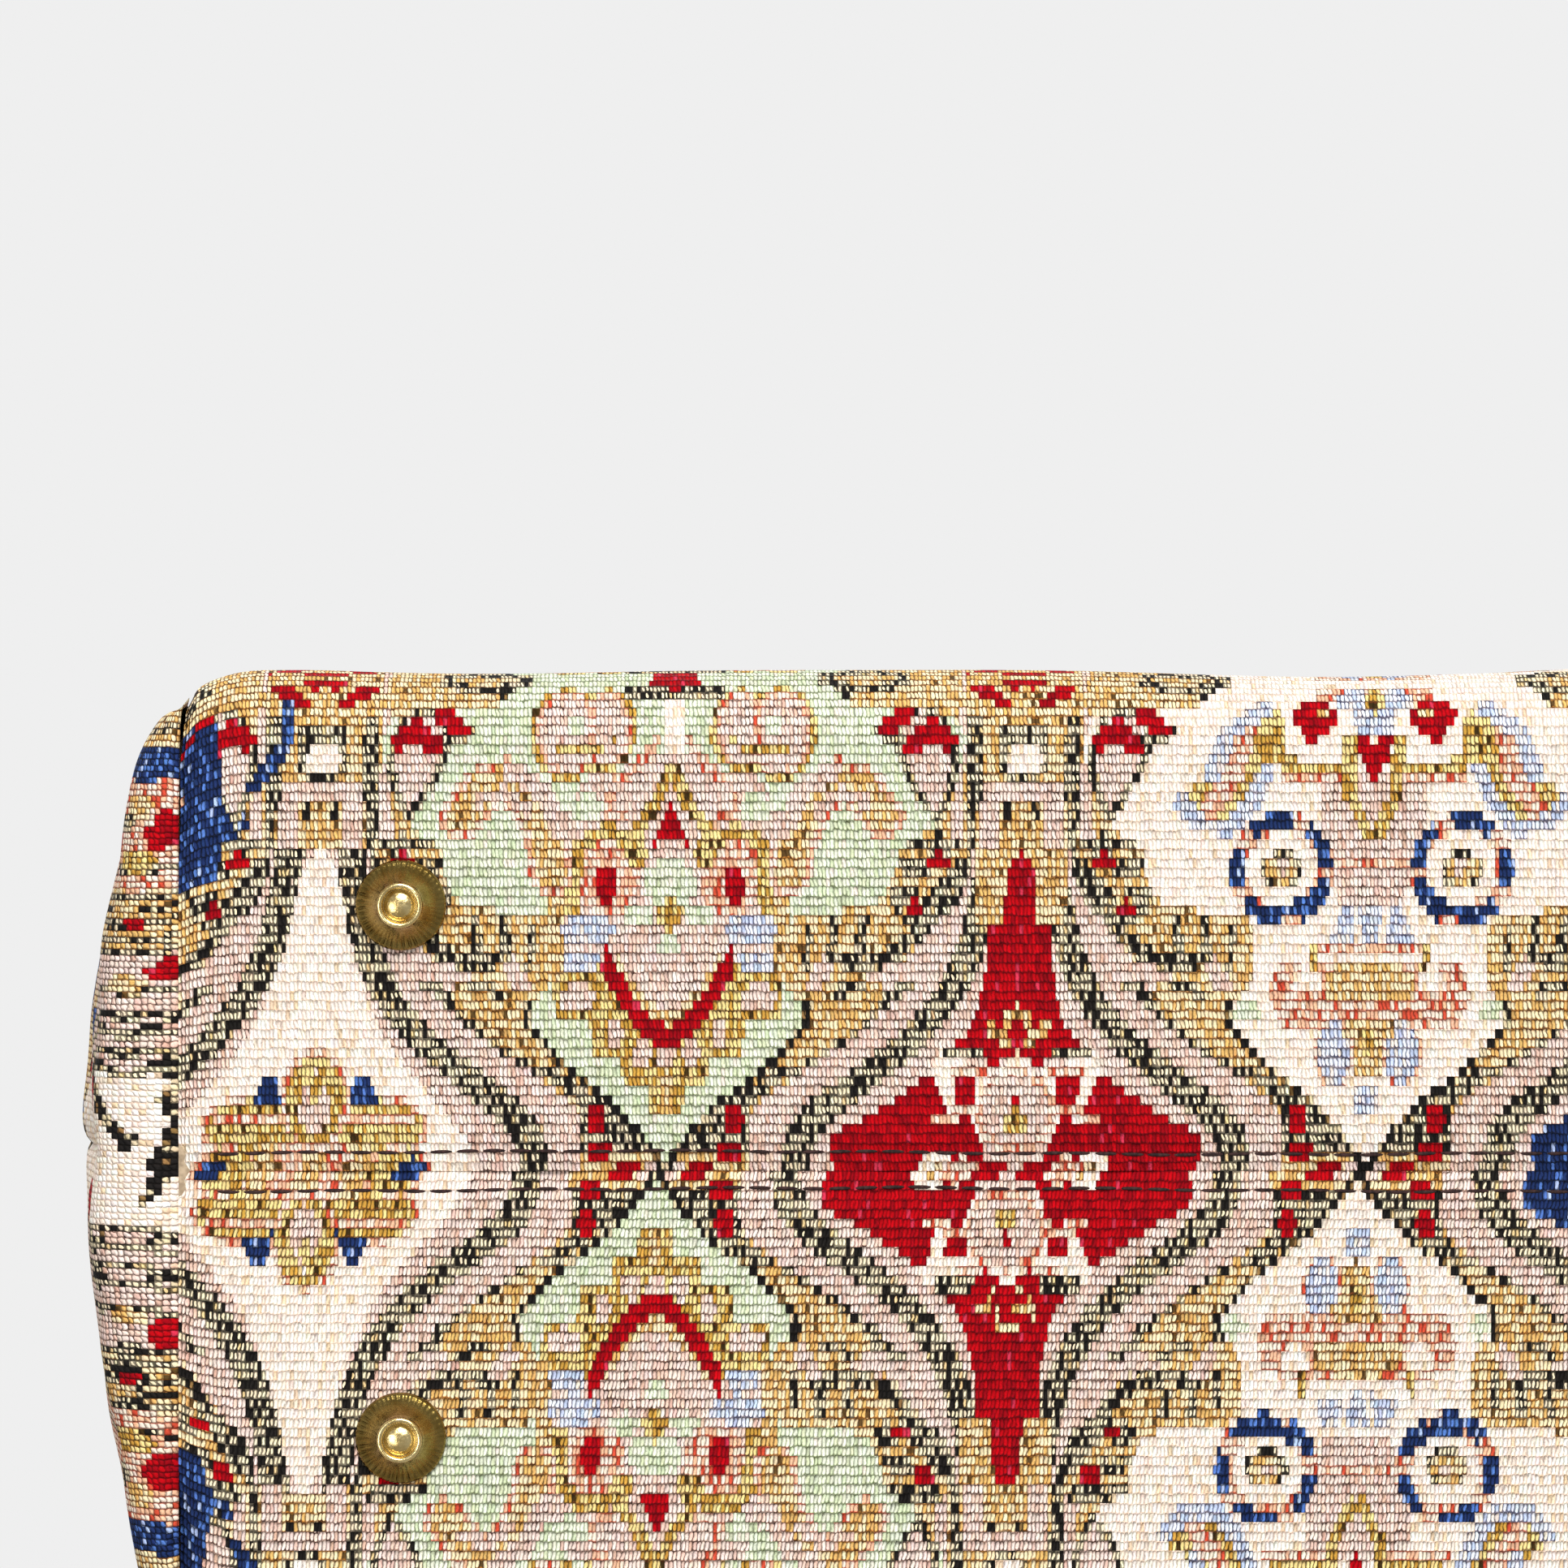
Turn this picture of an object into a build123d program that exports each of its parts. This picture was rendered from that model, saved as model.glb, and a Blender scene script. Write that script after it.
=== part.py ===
"""Carpet bag: two woven panels that roll under the bag and meet in a seam along the middle of
its underside, two swelling end gussets, a lining over a base board, a bound mouth with two rolled
leather handles, and four turned brass feet.

Millimetres. +Z is up, +X runs along the bag, and the front faces -Y. The origin is on the ground
at the middle of the bag, which stands on its feet.
"""

import os
from math import atan2, cos, pi, radians, sin

from build123d import *

# Body
seam_length = 370.0  # between the two gusset seams, on the underside
base_depth = 154.0  # front to back at the bottom
mouth_depth = 112.0  # front to back at the rim
bag_height = 268.0  # underside of the carpet to the rim
corner_radius = 20.0  # round corners, seen from below
corner_setback = 12.0  # from the gusset seam in to where the long side starts to turn
edge_radius = 11.0  # the carpet's roll from the underside into its sides
gusset_turn = 11.0  # reach of the gusset past its seam where the roll ends
gusset_swell = 10.0  # how far the gusset then swells outward
fold_depth = 4.0  # the soft fold down the middle of each gusset
rim_overrun = 24.0  # what the forms run on above the rim before they are trimmed

# Layers
carpet_thickness = 2.2
board_thickness = 3.0
lining_thickness = 0.8
layer_gap = 0.3  # clearance between the lining and what is round it
seat_gap = 0.1  # clearance of the binding on the layers that it folds over
seam_valley_width = 2.4  # the dip along the seam of the underside
seam_valley_depth = 0.9

# Leather
leather_thickness = 1.2
binding_depth = 10.0  # how far the binding reaches down from the rim
patch_width = 34.0
patch_height = 54.0
patch_corner = 9.0
paddle_width = 24.0  # flat riveted end of a handle
paddle_height = 62.0
paddle_rise = 6.0  # how far the paddle reaches above the rim
paddle_thickness = 3.4
paddle_corner = 10.0
paddle_edge = 0.8
handle_diameter = 12.0
handle_span = 140.0  # between the two legs of a handle
handle_height = 104.0  # rim to the handle's middle line
handle_crown = 16.0  # straight stretch at the top of a handle
handle_tail = 8.0  # how far the round grip runs down its paddle

# Rivets
rivet_shank = 3.0
rivet_head = 9.0
rivet_head_height = 1.6
rivet_cap = 8.0
rivet_cap_height = 1.0
rivet_spacing = 22.0
rivet_edge = 13.0  # paddle's lower end to the lower rivet
hole_clearance = 0.1

# Feet
foot_diameter = 14.0
foot_height = 6.0
foot_rim = 0.8
foot_boss = 7.4  # over the rolled ring that stands on the ground
foot_ring = 0.9  # width of that ring
foot_ring_flat = 0.4
foot_boss_height = 2.6
foot_groove = 0.9  # depth of the groove inside the ring
foot_dome = 0.7  # rise of the dome inside the groove
skirt_bend_share = 0.32  # of the skirt's drop, used up half way out
foot_inset_x = 34.5  # from a gusset seam in to a foot
foot_inset_y = 36.0  # from the front or the back in to a foot
foot_shank = 3.0
foot_clench = 5.4
foot_clench_height = 0.8
washer_diameter = 12.0
washer_thickness = 0.8

# Levels, as shares of the height, at which the sections of the bag are set
level_shares = (0.11, 0.22, 0.35, 0.47, 0.58)
shoulder_share = 0.68  # above it the front and the back are flat
swell_power = 0.72  # sets how low the gussets are widest
roll_angles = (0, 22.5, 45, 67.5, 90)

seam_half = seam_length / 2
straight_half = seam_half - corner_setback
base_reach = seam_half + gusset_turn
rim_z = foot_height + bag_height
handle_bend = (handle_span - handle_crown) / 2
foot_spacing_x = seam_length - 2 * foot_inset_x
foot_spacing_y = base_depth - 2 * foot_inset_y
lining_inset = carpet_thickness + layer_gap
floor_z = foot_height + carpet_thickness
board_top_z = floor_z + board_thickness
lining_floor = board_top_z + washer_thickness + foot_clench_height + layer_gap - foot_height


def taper(level):
    """Share of the way from the depth of the base to that of the mouth, at a share of the height."""
    steepness = 1 / (2 * shoulder_share - shoulder_share**2)
    if level < shoulder_share:
        return steepness * level**2
    return steepness * shoulder_share * (2 * level - shoulder_share)


def outline(level, inset):
    """Front left quarter of a level section: a straight long side, a round corner and a bowed end."""
    half_depth = (base_depth - taper(level) * (base_depth - mouth_depth)) / 2
    swell = gusset_swell * sin(pi * level**swell_power)
    fold = fold_depth * sin(pi / 2 * level)
    side = half_depth - corner_radius
    bow = base_reach - straight_half + swell
    bow_radius = (bow**2 + side**2 - corner_radius**2) / (2 * (bow - corner_radius))
    lead = bow_radius - bow
    turn = atan2(side, lead)
    edge = half_depth - inset
    corner = corner_radius - inset
    turn_x = straight_half + corner * cos(turn)
    turn_y = side + corner * sin(turn)
    bow_x = straight_half - lead + (bow_radius - inset) * cos(turn / 2)
    bow_y = (bow_radius - inset) * sin(turn / 2)
    fold_x = straight_half + bow - inset - fold
    with BuildSketch() as section:
        with BuildLine():
            Line((0, -edge), (-straight_half, -edge))
            TangentArc((-straight_half, -edge), (-turn_x, -turn_y), tangent=(-1, 0))
            ThreePointArc((-turn_x, -turn_y), (-bow_x, -bow_y), (-fold_x, 0))
            Polyline((-fold_x, 0), (0, 0), (0, -edge))
        make_face()
    return section.sketch


def tub(inset, floor):
    """Front left quarter of the bag's closed form, moved in by inset, with a floor at that height."""
    roll = edge_radius - inset
    top_share = 1 + rim_overrun / bag_height
    with BuildPart() as form:
        for angle in roll_angles:
            rise = floor + roll * (1 - cos(radians(angle)))
            with BuildSketch(Plane.XY.offset(foot_height + rise)):
                add(outline(0, inset + roll * (1 - sin(radians(angle)))))
        loft(ruled=True)
        with BuildSketch(Plane.XY.offset(foot_height + floor + roll)):
            add(outline(0, inset))
        for level in (*level_shares, shoulder_share, (1 + shoulder_share) / 2, top_share):
            with BuildSketch(Plane.XY.offset(foot_height + level * bag_height)):
                add(outline(level, inset))
        loft(ruled=True)
    return form.part


def doubled(piece, plane):
    """A piece joined with its mirror image."""
    with BuildPart() as whole:
        add(piece)
        mirror(about=plane)
    return whole.part


def save(piece, label):
    """Labels a finished piece and writes it."""
    piece.label = label
    export_step(piece, f"parts/{label}.step")


os.makedirs("parts", exist_ok=True)

lining_face = lining_inset + lining_thickness
lining_top = lining_floor + lining_thickness
outer_form = tub(0, 0)
inner_form = tub(carpet_thickness, carpet_thickness)
leather_form = tub(-leather_thickness, -leather_thickness)
lining_form = tub(lining_inset, lining_floor)
lining_inner_form = tub(lining_face, lining_top)
binding_seat_form = tub(-seat_gap, -seat_gap)
binding_lining_form = tub(lining_face + seat_gap, lining_top + seat_gap)
binding_inner_form = tub(lining_face + leather_thickness, lining_top + leather_thickness)

face_slope = atan2(
    (1 - taper(shoulder_share)) * (base_depth - mouth_depth) / 2,
    (1 - shoulder_share) * bag_height,
)
front_face = Plane(
    origin=(0, -mouth_depth / 2 - leather_thickness, rim_z),
    x_dir=(1, 0, 0),
    z_dir=(0, -cos(face_slope), sin(face_slope)),
)
back_face = Plane(
    origin=(0, mouth_depth / 2 + leather_thickness, rim_z),
    x_dir=(-1, 0, 0),
    z_dir=(0, cos(face_slope), sin(face_slope)),
)
paddle_middle = paddle_rise - paddle_height / 2
lower_rivet = paddle_rise - paddle_height + rivet_edge
rivet_spots = [
    Pos(side * handle_span / 2, lower_rivet + row * rivet_spacing)
    for side in (-1, 1)
    for row in (0, 1)
]
front_rivet_spots = [front_face.location * spot for spot in rivet_spots]
back_rivet_spots = [back_face.location * spot for spot in rivet_spots]
rivet_stack = (leather_thickness + lining_inset + lining_thickness) * cos(face_slope)
rivet_hole = rivet_shank / 2 + hole_clearance
rivet_reach = 2 * (rivet_stack + paddle_thickness + rivet_cap_height)
foot_hole = foot_shank / 2 + hole_clearance

# Carpet: a quarter of the shell, with half the dip of the middle seam, parted at the gusset seam
with BuildPart() as carpet_quarter:
    add(outer_form)
    add(inner_form, mode=Mode.SUBTRACT)
    split(bisect_by=Plane.XY.offset(rim_z), keep=Keep.BOTTOM)
    with BuildSketch(Plane.YZ.offset(-seam_half)):
        with BuildLine():
            Polyline(
                (-seam_valley_width, foot_height - seam_valley_depth),
                (seam_valley_width, foot_height - seam_valley_depth),
                (0, foot_height + seam_valley_depth),
                close=True,
            )
        make_face()
    extrude(amount=seam_length, mode=Mode.SUBTRACT)

with BuildPart() as half_panel:
    add(carpet_quarter.part)
    split(bisect_by=Plane.YZ.offset(-seam_half), keep=Keep.TOP)

with BuildPart() as front_panel:
    add(doubled(half_panel.part, Plane.YZ))
    with GridLocations(foot_spacing_x, foot_spacing_y, 2, 2):
        Hole(foot_hole)
    with Locations(*front_rivet_spots):
        Cylinder(rivet_hole, rivet_reach, mode=Mode.SUBTRACT)
save(front_panel.part, "front_panel")

with BuildPart() as back_panel:
    mirror(front_panel.part, about=Plane.XZ)
save(back_panel.part, "back_panel")

with BuildPart() as half_gusset:
    add(carpet_quarter.part)
    split(bisect_by=Plane.YZ.offset(-seam_half), keep=Keep.BOTTOM)

with BuildPart() as left_gusset:
    add(doubled(half_gusset.part, Plane.XZ))
save(left_gusset.part, "left_gusset")

with BuildPart() as right_gusset:
    mirror(left_gusset.part, about=Plane.YZ)
save(right_gusset.part, "right_gusset")

# Base board, flat on the carpet inside the roll of its edges
with BuildPart() as board_quarter:
    with BuildSketch(Plane.XY.offset(floor_z)):
        add(outline(0, edge_radius))
    extrude(amount=board_thickness)

with BuildPart() as base_board:
    add(doubled(doubled(board_quarter.part, Plane.YZ), Plane.XZ))
    with GridLocations(foot_spacing_x, foot_spacing_y, 2, 2):
        Hole(foot_hole)
save(base_board.part, "base_board")

# Lining: one sewn bag that hangs from the rim
with BuildPart() as lining_quarter:
    add(lining_form)
    add(lining_inner_form, mode=Mode.SUBTRACT)
    split(bisect_by=Plane.XY.offset(rim_z), keep=Keep.BOTTOM)

with BuildPart() as lining:
    add(doubled(doubled(lining_quarter.part, Plane.YZ), Plane.XZ))
    with Locations(*front_rivet_spots, *back_rivet_spots):
        Cylinder(rivet_hole, rivet_reach, mode=Mode.SUBTRACT)
save(lining.part, "lining")

# Binding: leather folded over the edges of the carpet and the lining
with BuildPart() as rim_layers:
    add(binding_seat_form)
    add(binding_lining_form, mode=Mode.SUBTRACT)
    split(bisect_by=Plane.XY.offset(rim_z), keep=Keep.BOTTOM)

with BuildPart() as binding_quarter:
    add(leather_form)
    add(binding_inner_form, mode=Mode.SUBTRACT)
    split(bisect_by=Plane.XY.offset(rim_z - binding_depth), keep=Keep.TOP)
    split(bisect_by=Plane.XY.offset(rim_z + leather_thickness), keep=Keep.BOTTOM)
    add(rim_layers.part, mode=Mode.SUBTRACT)

with BuildPart() as rim_binding:
    add(doubled(doubled(binding_quarter.part, Plane.YZ), Plane.XZ))
save(rim_binding.part, "rim_binding")

# Patches: leather under the flat ends of the handles
with BuildPart() as left_patch:
    with BuildSketch(Plane.XZ):
        with Locations((-handle_span / 2, rim_z - binding_depth - layer_gap - patch_height / 2)):
            RectangleRounded(patch_width, patch_height, patch_corner)
    extrude(amount=base_depth)
    add(leather_form, mode=Mode.INTERSECT)
    add(outer_form, mode=Mode.SUBTRACT)
    with Locations(*front_rivet_spots):
        Cylinder(rivet_hole, rivet_reach, mode=Mode.SUBTRACT)
save(left_patch.part, "front_left_patch")

with BuildPart() as right_patch:
    mirror(left_patch.part, about=Plane.YZ)
save(right_patch.part, "front_right_patch")

with BuildPart() as back_left_patch:
    mirror(left_patch.part, about=Plane.XZ)
save(back_left_patch.part, "back_left_patch")

with BuildPart() as back_right_patch:
    mirror(right_patch.part, about=Plane.XZ)
save(back_right_patch.part, "back_right_patch")

# Handles: a round grip that flattens into a riveted paddle at each end
with BuildPart() as paddle:
    with BuildSketch():
        with Locations((0, paddle_middle)):
            RectangleRounded(paddle_width, paddle_height, paddle_corner)
    extrude(amount=paddle_thickness)
    fillet(faces().sort_by(Axis.Z)[-1].edges(), paddle_edge)
    with Locations((0, lower_rivet), (0, lower_rivet + rivet_spacing)):
        Hole(rivet_hole)

grip_plane = front_face.offset(handle_diameter / 2)
leg_foot = grip_plane.from_local_coords((-handle_span / 2, -handle_tail, 0))
leg_top = grip_plane.from_local_coords((-handle_span / 2, handle_height - handle_bend, 0))
bend_middle = grip_plane.from_local_coords(
    (handle_bend - handle_span / 2, handle_height - handle_bend, 0)
)
bend_end = grip_plane.from_local_coords((handle_bend - handle_span / 2, handle_height, 0))
with BuildPart() as left_half_handle:
    with BuildSketch(Plane(origin=leg_foot, z_dir=front_face.y_dir)):
        Circle(handle_diameter / 2)
    extrude(amount=handle_tail + handle_height - handle_bend)
    with BuildSketch(Plane(origin=leg_top, z_dir=front_face.y_dir)):
        Circle(handle_diameter / 2)
    revolve(axis=Axis(bend_middle, -front_face.z_dir), revolution_arc=90)
    with BuildSketch(Plane(origin=bend_end, z_dir=front_face.x_dir)):
        Circle(handle_diameter / 2)
    extrude(amount=handle_span / 2 - handle_bend)
    with Locations(leg_foot):
        Sphere(handle_diameter / 2)
    with Locations(front_face.location * Pos(-handle_span / 2, 0)):
        add(paddle.part)

with BuildPart() as front_handle:
    add(left_half_handle.part)
    mirror(about=Plane.YZ)
save(front_handle.part, "front_handle")

with BuildPart() as back_handle:
    mirror(front_handle.part, about=Plane.XZ)
save(back_handle.part, "back_handle")

# Rivets through paddle, patch, carpet and lining
with BuildPart() as rivet:
    with BuildSketch(Plane.XZ):
        with BuildLine():
            TangentArc(
                (0, paddle_thickness + rivet_head_height),
                (rivet_head / 2, paddle_thickness),
                tangent=(1, 0),
            )
            Polyline(
                (0, paddle_thickness + rivet_head_height),
                (0, -rivet_stack - rivet_cap_height),
                (rivet_cap / 2, -rivet_stack - rivet_cap_height),
                (rivet_cap / 2, -rivet_stack),
                (rivet_shank / 2, -rivet_stack),
                (rivet_shank / 2, paddle_thickness),
                (rivet_head / 2, paddle_thickness),
            )
        make_face()
    revolve(axis=Axis.Z)

with BuildPart() as handle_rivets:
    with Locations(*front_rivet_spots, *back_rivet_spots):
        add(rivet.part)
save(handle_rivets.part, "handle_rivets")

# Feet: a turned boss with a rolled ring and a dome, on a flared skirt, clenched inside
boss_half = foot_boss / 2
ring_outer = boss_half - (foot_ring - foot_ring_flat) / 2
ring_inner = ring_outer - foot_ring_flat
groove_half = boss_half - foot_ring
neck_half = boss_half - foot_ring / 2
skirt_drop = foot_height - foot_rim - foot_boss_height
shoulder_half = (neck_half + foot_diameter / 2) / 2
clench_base_z = board_top_z + washer_thickness
with BuildPart() as foot:
    with BuildSketch(Plane.XZ):
        with BuildLine():
            TangentArc((0, foot_groove - foot_dome), (groove_half, foot_groove), tangent=(1, 0))
            Polyline((groove_half, foot_groove), (ring_inner, 0), (ring_outer, 0))
            Polyline(
                (ring_outer, 0),
                (boss_half, foot_ring / 2),
                (neck_half, foot_boss_height),
                (shoulder_half, foot_boss_height + skirt_drop * skirt_bend_share),
                (foot_diameter / 2, foot_height - foot_rim),
            )
            Polyline(
                (foot_diameter / 2, foot_height - foot_rim),
                (foot_diameter / 2, foot_height),
                (foot_shank / 2, foot_height),
                (foot_shank / 2, clench_base_z),
                (foot_clench / 2, clench_base_z),
                (foot_clench / 2, clench_base_z + foot_clench_height),
                (0, clench_base_z + foot_clench_height),
                (0, foot_groove - foot_dome),
            )
        make_face()
    revolve(axis=Axis.Z)

for side, x in (("left", -foot_spacing_x / 2), ("right", foot_spacing_x / 2)):
    for face, y in (("front", -foot_spacing_y / 2), ("back", foot_spacing_y / 2)):
        with BuildPart() as placed_foot:
            with Locations((x, y)):
                add(foot.part)
        save(placed_foot.part, f"{face}_{side}_foot")

with BuildPart() as foot_washers:
    with BuildSketch(Plane.XY.offset(board_top_z)):
        with GridLocations(foot_spacing_x, foot_spacing_y, 2, 2):
            Circle(washer_diameter / 2)
            Circle(foot_hole, mode=Mode.SUBTRACT)
    extrude(amount=washer_thickness)
save(foot_washers.part, "foot_washers")
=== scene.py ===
"""Looks of the carpet bag: woven panels and gussets with their figured pattern, the stitching of
the middle seam, fluted brass feet, leather trim, lining and brass rivets, seen from below.

The forms are worked out in millimetres and become metres when a mesh is made.
"""

import math

import bpy
import numpy as np
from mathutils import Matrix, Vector


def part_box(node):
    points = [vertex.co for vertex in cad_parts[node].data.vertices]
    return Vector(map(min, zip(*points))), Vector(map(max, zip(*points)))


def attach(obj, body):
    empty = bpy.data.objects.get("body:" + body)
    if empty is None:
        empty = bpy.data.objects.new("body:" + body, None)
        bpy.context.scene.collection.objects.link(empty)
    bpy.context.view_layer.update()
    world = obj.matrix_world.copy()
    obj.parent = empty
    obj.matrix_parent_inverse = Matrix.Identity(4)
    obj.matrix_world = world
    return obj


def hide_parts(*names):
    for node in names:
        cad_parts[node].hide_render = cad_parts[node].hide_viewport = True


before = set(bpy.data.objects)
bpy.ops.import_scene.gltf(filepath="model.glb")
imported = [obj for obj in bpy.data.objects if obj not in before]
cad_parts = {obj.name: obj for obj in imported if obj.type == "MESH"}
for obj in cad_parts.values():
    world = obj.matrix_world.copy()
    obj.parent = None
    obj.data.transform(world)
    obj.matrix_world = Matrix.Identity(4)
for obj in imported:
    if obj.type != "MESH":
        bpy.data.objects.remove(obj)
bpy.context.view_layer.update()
rng = np.random.default_rng(11)

MM = 0.001

# Form of the bag, from the frame
panel_low, panel_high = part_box("front_panel")
SEAM_HALF = -panel_low.x / MM
BASE_HALF = -panel_low.y / MM
UNDERSIDE = panel_low.z / MM
RIM = panel_high.z / MM
HEIGHT = RIM - UNDERSIDE
CORNER = 20.0
STRAIGHT_HALF = SEAM_HALF - 12.0
ROLL = 11.0
BASE_REACH = SEAM_HALF + 11.0
SWELL = 10.0
FOLD = 4.0
MOUTH_HALF = 56.0
SHOULDER = 0.68
SWELL_POWER = 0.72
FLAT = BASE_HALF - ROLL
ROLL_LENGTH = ROLL * math.pi / 2
WALL_LENGTH = HEIGHT - ROLL

# Weave
STITCH = 0.62
ROW = 1.45
GUSSET_STITCH = 1.2
GUSSET_ROW = 0.95
GUSSET_START = 24.0

# Lining, binding and patches
LINING_INSET = 3.1
LINING_FLOOR = 7.6
LINING_ROLL = 8.0
LINING_FACE = 3.3
LONG_STEPS = 120
END_STEPS = 70
LEATHER = 1.2
BINDING = 10.0
BINDING_SEAM = 2.4
PATCH_CORNER = 9.0
PATCH_SEAM = 2.6
PATCHES = ("front_left_patch", "front_right_patch", "back_left_patch", "back_right_patch")

# Feet: flutes round the skirt and steps round the mesh
FLUTES = 46
FOOT_STEPS = 180

# Sewing: distance of the topstitching from the middle seam, then pitch and length of stitches,
# width and lift of their thread
SEAM_ROW = 2.85
SEAM_SEWING = (4.1, 3.6)
SEAM_THREAD = (0.56, 0.12)
BINDING_SEWING = (3.8, 2.9)
PATCH_SEWING = (3.6, 2.7)
SADDLE_THREAD = (0.8, 0.22)

# Hollow along a seam, and the place of the gusset's crease
EDGE_WIDTH = 1.7
EDGE_DEPTH = 1.7
CREASE = -3.0

# Stage, camera and lamps: place, target, size in metres, power
BACKDROP = "EFEFEF"
WORLD_FILL = 0.42
WORLD_TINT = (1.0, 0.99, 0.97, 1.0)
FLOOR_HALF = 6000.0
SENSOR = 36.0
VIEW_DISTANCE = 1300.0
VIEW_WIDTH = 241.5
VIEW_X = -91.5
VIEW_Y = -59.65
LAMPS = {
    "lamp_below": ((0.05, -0.85, -0.95), (-0.05, 0, 0), 0.7, 21),
    "lamp_below_left": ((-0.75, 0.1, -1.0), (-0.05, 0, 0), 0.6, 6),
    "lamp_above": ((-0.6, -1.2, 1.5), (0, 0, 0.15), 1.0, 34),
}

# Lay of the pattern
BACK_SHIFT = 1.3
BACK_STRETCH = 1.015
FRONT_SKEW = 0.022


def smooth(low, high, value):
    """Runs from 0 at low to 1 at high with soft ends."""
    share = np.clip((value - low) / (high - low), 0, 1)
    return share * share * (3 - 2 * share)


def waves(along, across, seed, count, shortest, longest):
    """Soft uneven waves of about unit height, for cloth that doesn't lie dead flat."""
    source = np.random.default_rng(seed)
    total = np.zeros(np.broadcast(along, across).shape)
    for _ in range(count):
        length = source.uniform(shortest, longest)
        angle = source.uniform(0, math.tau)
        phase = source.uniform(0, math.tau)
        travel = along * math.cos(angle) + across * math.sin(angle)
        total += np.sin(math.tau * travel / length + phase)
    return total / math.sqrt(count)


def half_depth(level):
    """Half the bag's depth at a share of its height."""
    steepness = 1 / (2 * SHOULDER - SHOULDER**2)
    taper = np.where(
        level < SHOULDER, steepness * level**2, steepness * SHOULDER * (2 * level - SHOULDER)
    )
    return BASE_HALF - taper * (BASE_HALF - MOUTH_HALF)


def seam_depth(level):
    """Distance of the gusset seam from the bag's middle plane."""
    drop = STRAIGHT_HALF + CORNER - SEAM_HALF
    return half_depth(level) - CORNER + math.sqrt(CORNER**2 - (CORNER - drop) ** 2)


def end_reach(y, level):
    """How far the end of the bag reaches along X, at a distance y from the middle plane."""
    side = half_depth(level) - CORNER
    swell = SWELL * np.sin(math.pi * np.clip(level, 0, 1) ** SWELL_POWER)
    bow = BASE_REACH - STRAIGHT_HALF + swell
    radius = (bow**2 + side**2 - CORNER**2) / (2 * (bow - CORNER))
    lead = radius - bow
    turn = np.arctan2(side, lead)
    turn_y = side + CORNER * np.sin(turn)
    y = np.abs(y)
    bowed = STRAIGHT_HALF - lead + np.sqrt(np.maximum(radius**2 - y**2, 0))
    fold = FOLD * np.sin(math.pi / 2 * level)
    bow_y = radius * np.sin(turn / 2)
    bowed -= fold * np.clip(1 - y / bow_y, 0, 1) * (1 - y / turn_y)
    rounded = STRAIGHT_HALF + np.sqrt(np.maximum(CORNER**2 - (y - side) ** 2, 0))
    return np.where(y < turn_y, bowed, rounded)


def corner_pull(x):
    """How far the long side draws in where it turns the corner."""
    past = np.clip(np.abs(x) - STRAIGHT_HALF, 0, CORNER)
    return CORNER - np.sqrt(CORNER**2 - past**2)


def moved_out(points, height):
    """Moves a grid of points along its own normals."""
    across = np.gradient(points, axis=1)
    along = np.gradient(points, axis=0)
    normal = np.cross(across, along)
    normal /= np.maximum(np.linalg.norm(normal, axis=2, keepdims=True), 1e-9)
    return points + normal * height[..., None]


def mesh_piece(name, verts, faces, smooth_shaded=True):
    """A mesh object from points in millimetres."""
    mesh = bpy.data.meshes.new(name)
    mesh.from_pydata((np.asarray(verts, float).reshape(-1, 3) * MM).tolist(), [], faces)
    mesh.polygons.foreach_set("use_smooth", [smooth_shaded] * len(mesh.polygons))
    mesh.update()
    piece = bpy.data.objects.new(name, mesh)
    bpy.context.scene.collection.objects.link(piece)
    return piece


def grid_faces(rows, columns, start=0, flip=False):
    """Quads of a grid of (rows + 1) by (columns + 1) points."""
    first = start + np.arange(rows)[:, None] * (columns + 1) + np.arange(columns)[None, :]
    quads = np.stack([first, first + 1, first + columns + 2, first + columns + 1], axis=-1)
    if flip:
        quads = quads[..., ::-1]
    return quads.reshape(-1, 4).tolist()


def corner_lift(share):
    """Rise of the underside's edge by the gusset seam, most near the corners."""
    return 0.5 + 2.6 * smooth(0.72, 1, share)


def panel_points(x, t, side):
    """Points of a panel at x along the bag and t along the carpet from the middle seam."""
    pull = corner_pull(x)
    reach = np.abs(x)
    angle = np.clip((t - FLAT) / ROLL, 0, math.pi / 2)
    rise = np.clip(t - FLAT - ROLL_LENGTH, 0, None)
    level = (ROLL + rise) / HEIGHT
    flat_y = np.minimum(t, FLAT) * (FLAT - pull) / FLAT
    y = flat_y + ROLL * np.sin(angle)
    y = np.where(rise > 0, half_depth(level) - pull, y)
    z = ROLL * (1 - np.cos(angle)) + rise
    near_end = smooth(STRAIGHT_HALF, SEAM_HALF, reach)
    low = 1 - smooth(0, ROLL, z)
    z = z + low * near_end * corner_lift(np.minimum(t, FLAT) / FLAT)
    return np.stack([x + 0 * t, side * y, UNDERSIDE + z], axis=-1)


def seam_dip(t):
    """Depth of the carpet's dip at the middle seam and of the channel between its stitch rows."""
    return -1.2 * np.exp(-((t / 1.5) ** 2)) - 0.65 * np.exp(-(((t - SEAM_ROW) / 0.8) ** 2))


def panel_height(x, t, side):
    """Unevenness of a panel: the seams, soft waves and the slack near the middle seam."""
    edge = np.exp(-(((SEAM_HALF - np.abs(x)) / EDGE_WIDTH) ** 2))
    wall = smooth(FLAT, FLAT + 40, t)
    seed = 3 if side < 0 else 5
    slack = waves(x, t, seed, 9, 18, 46) * np.exp(-t / 16) * 0.32
    body = waves(x, t, seed + 20, 8, 60, 170) * (0.22 + 0.55 * wall)
    body *= smooth(0, 14, FLAT + ROLL_LENGTH + WALL_LENGTH - t)
    return seam_dip(t) + (slack + body) * smooth(0, 26, SEAM_HALF - np.abs(x)) - EDGE_DEPTH * edge


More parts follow.
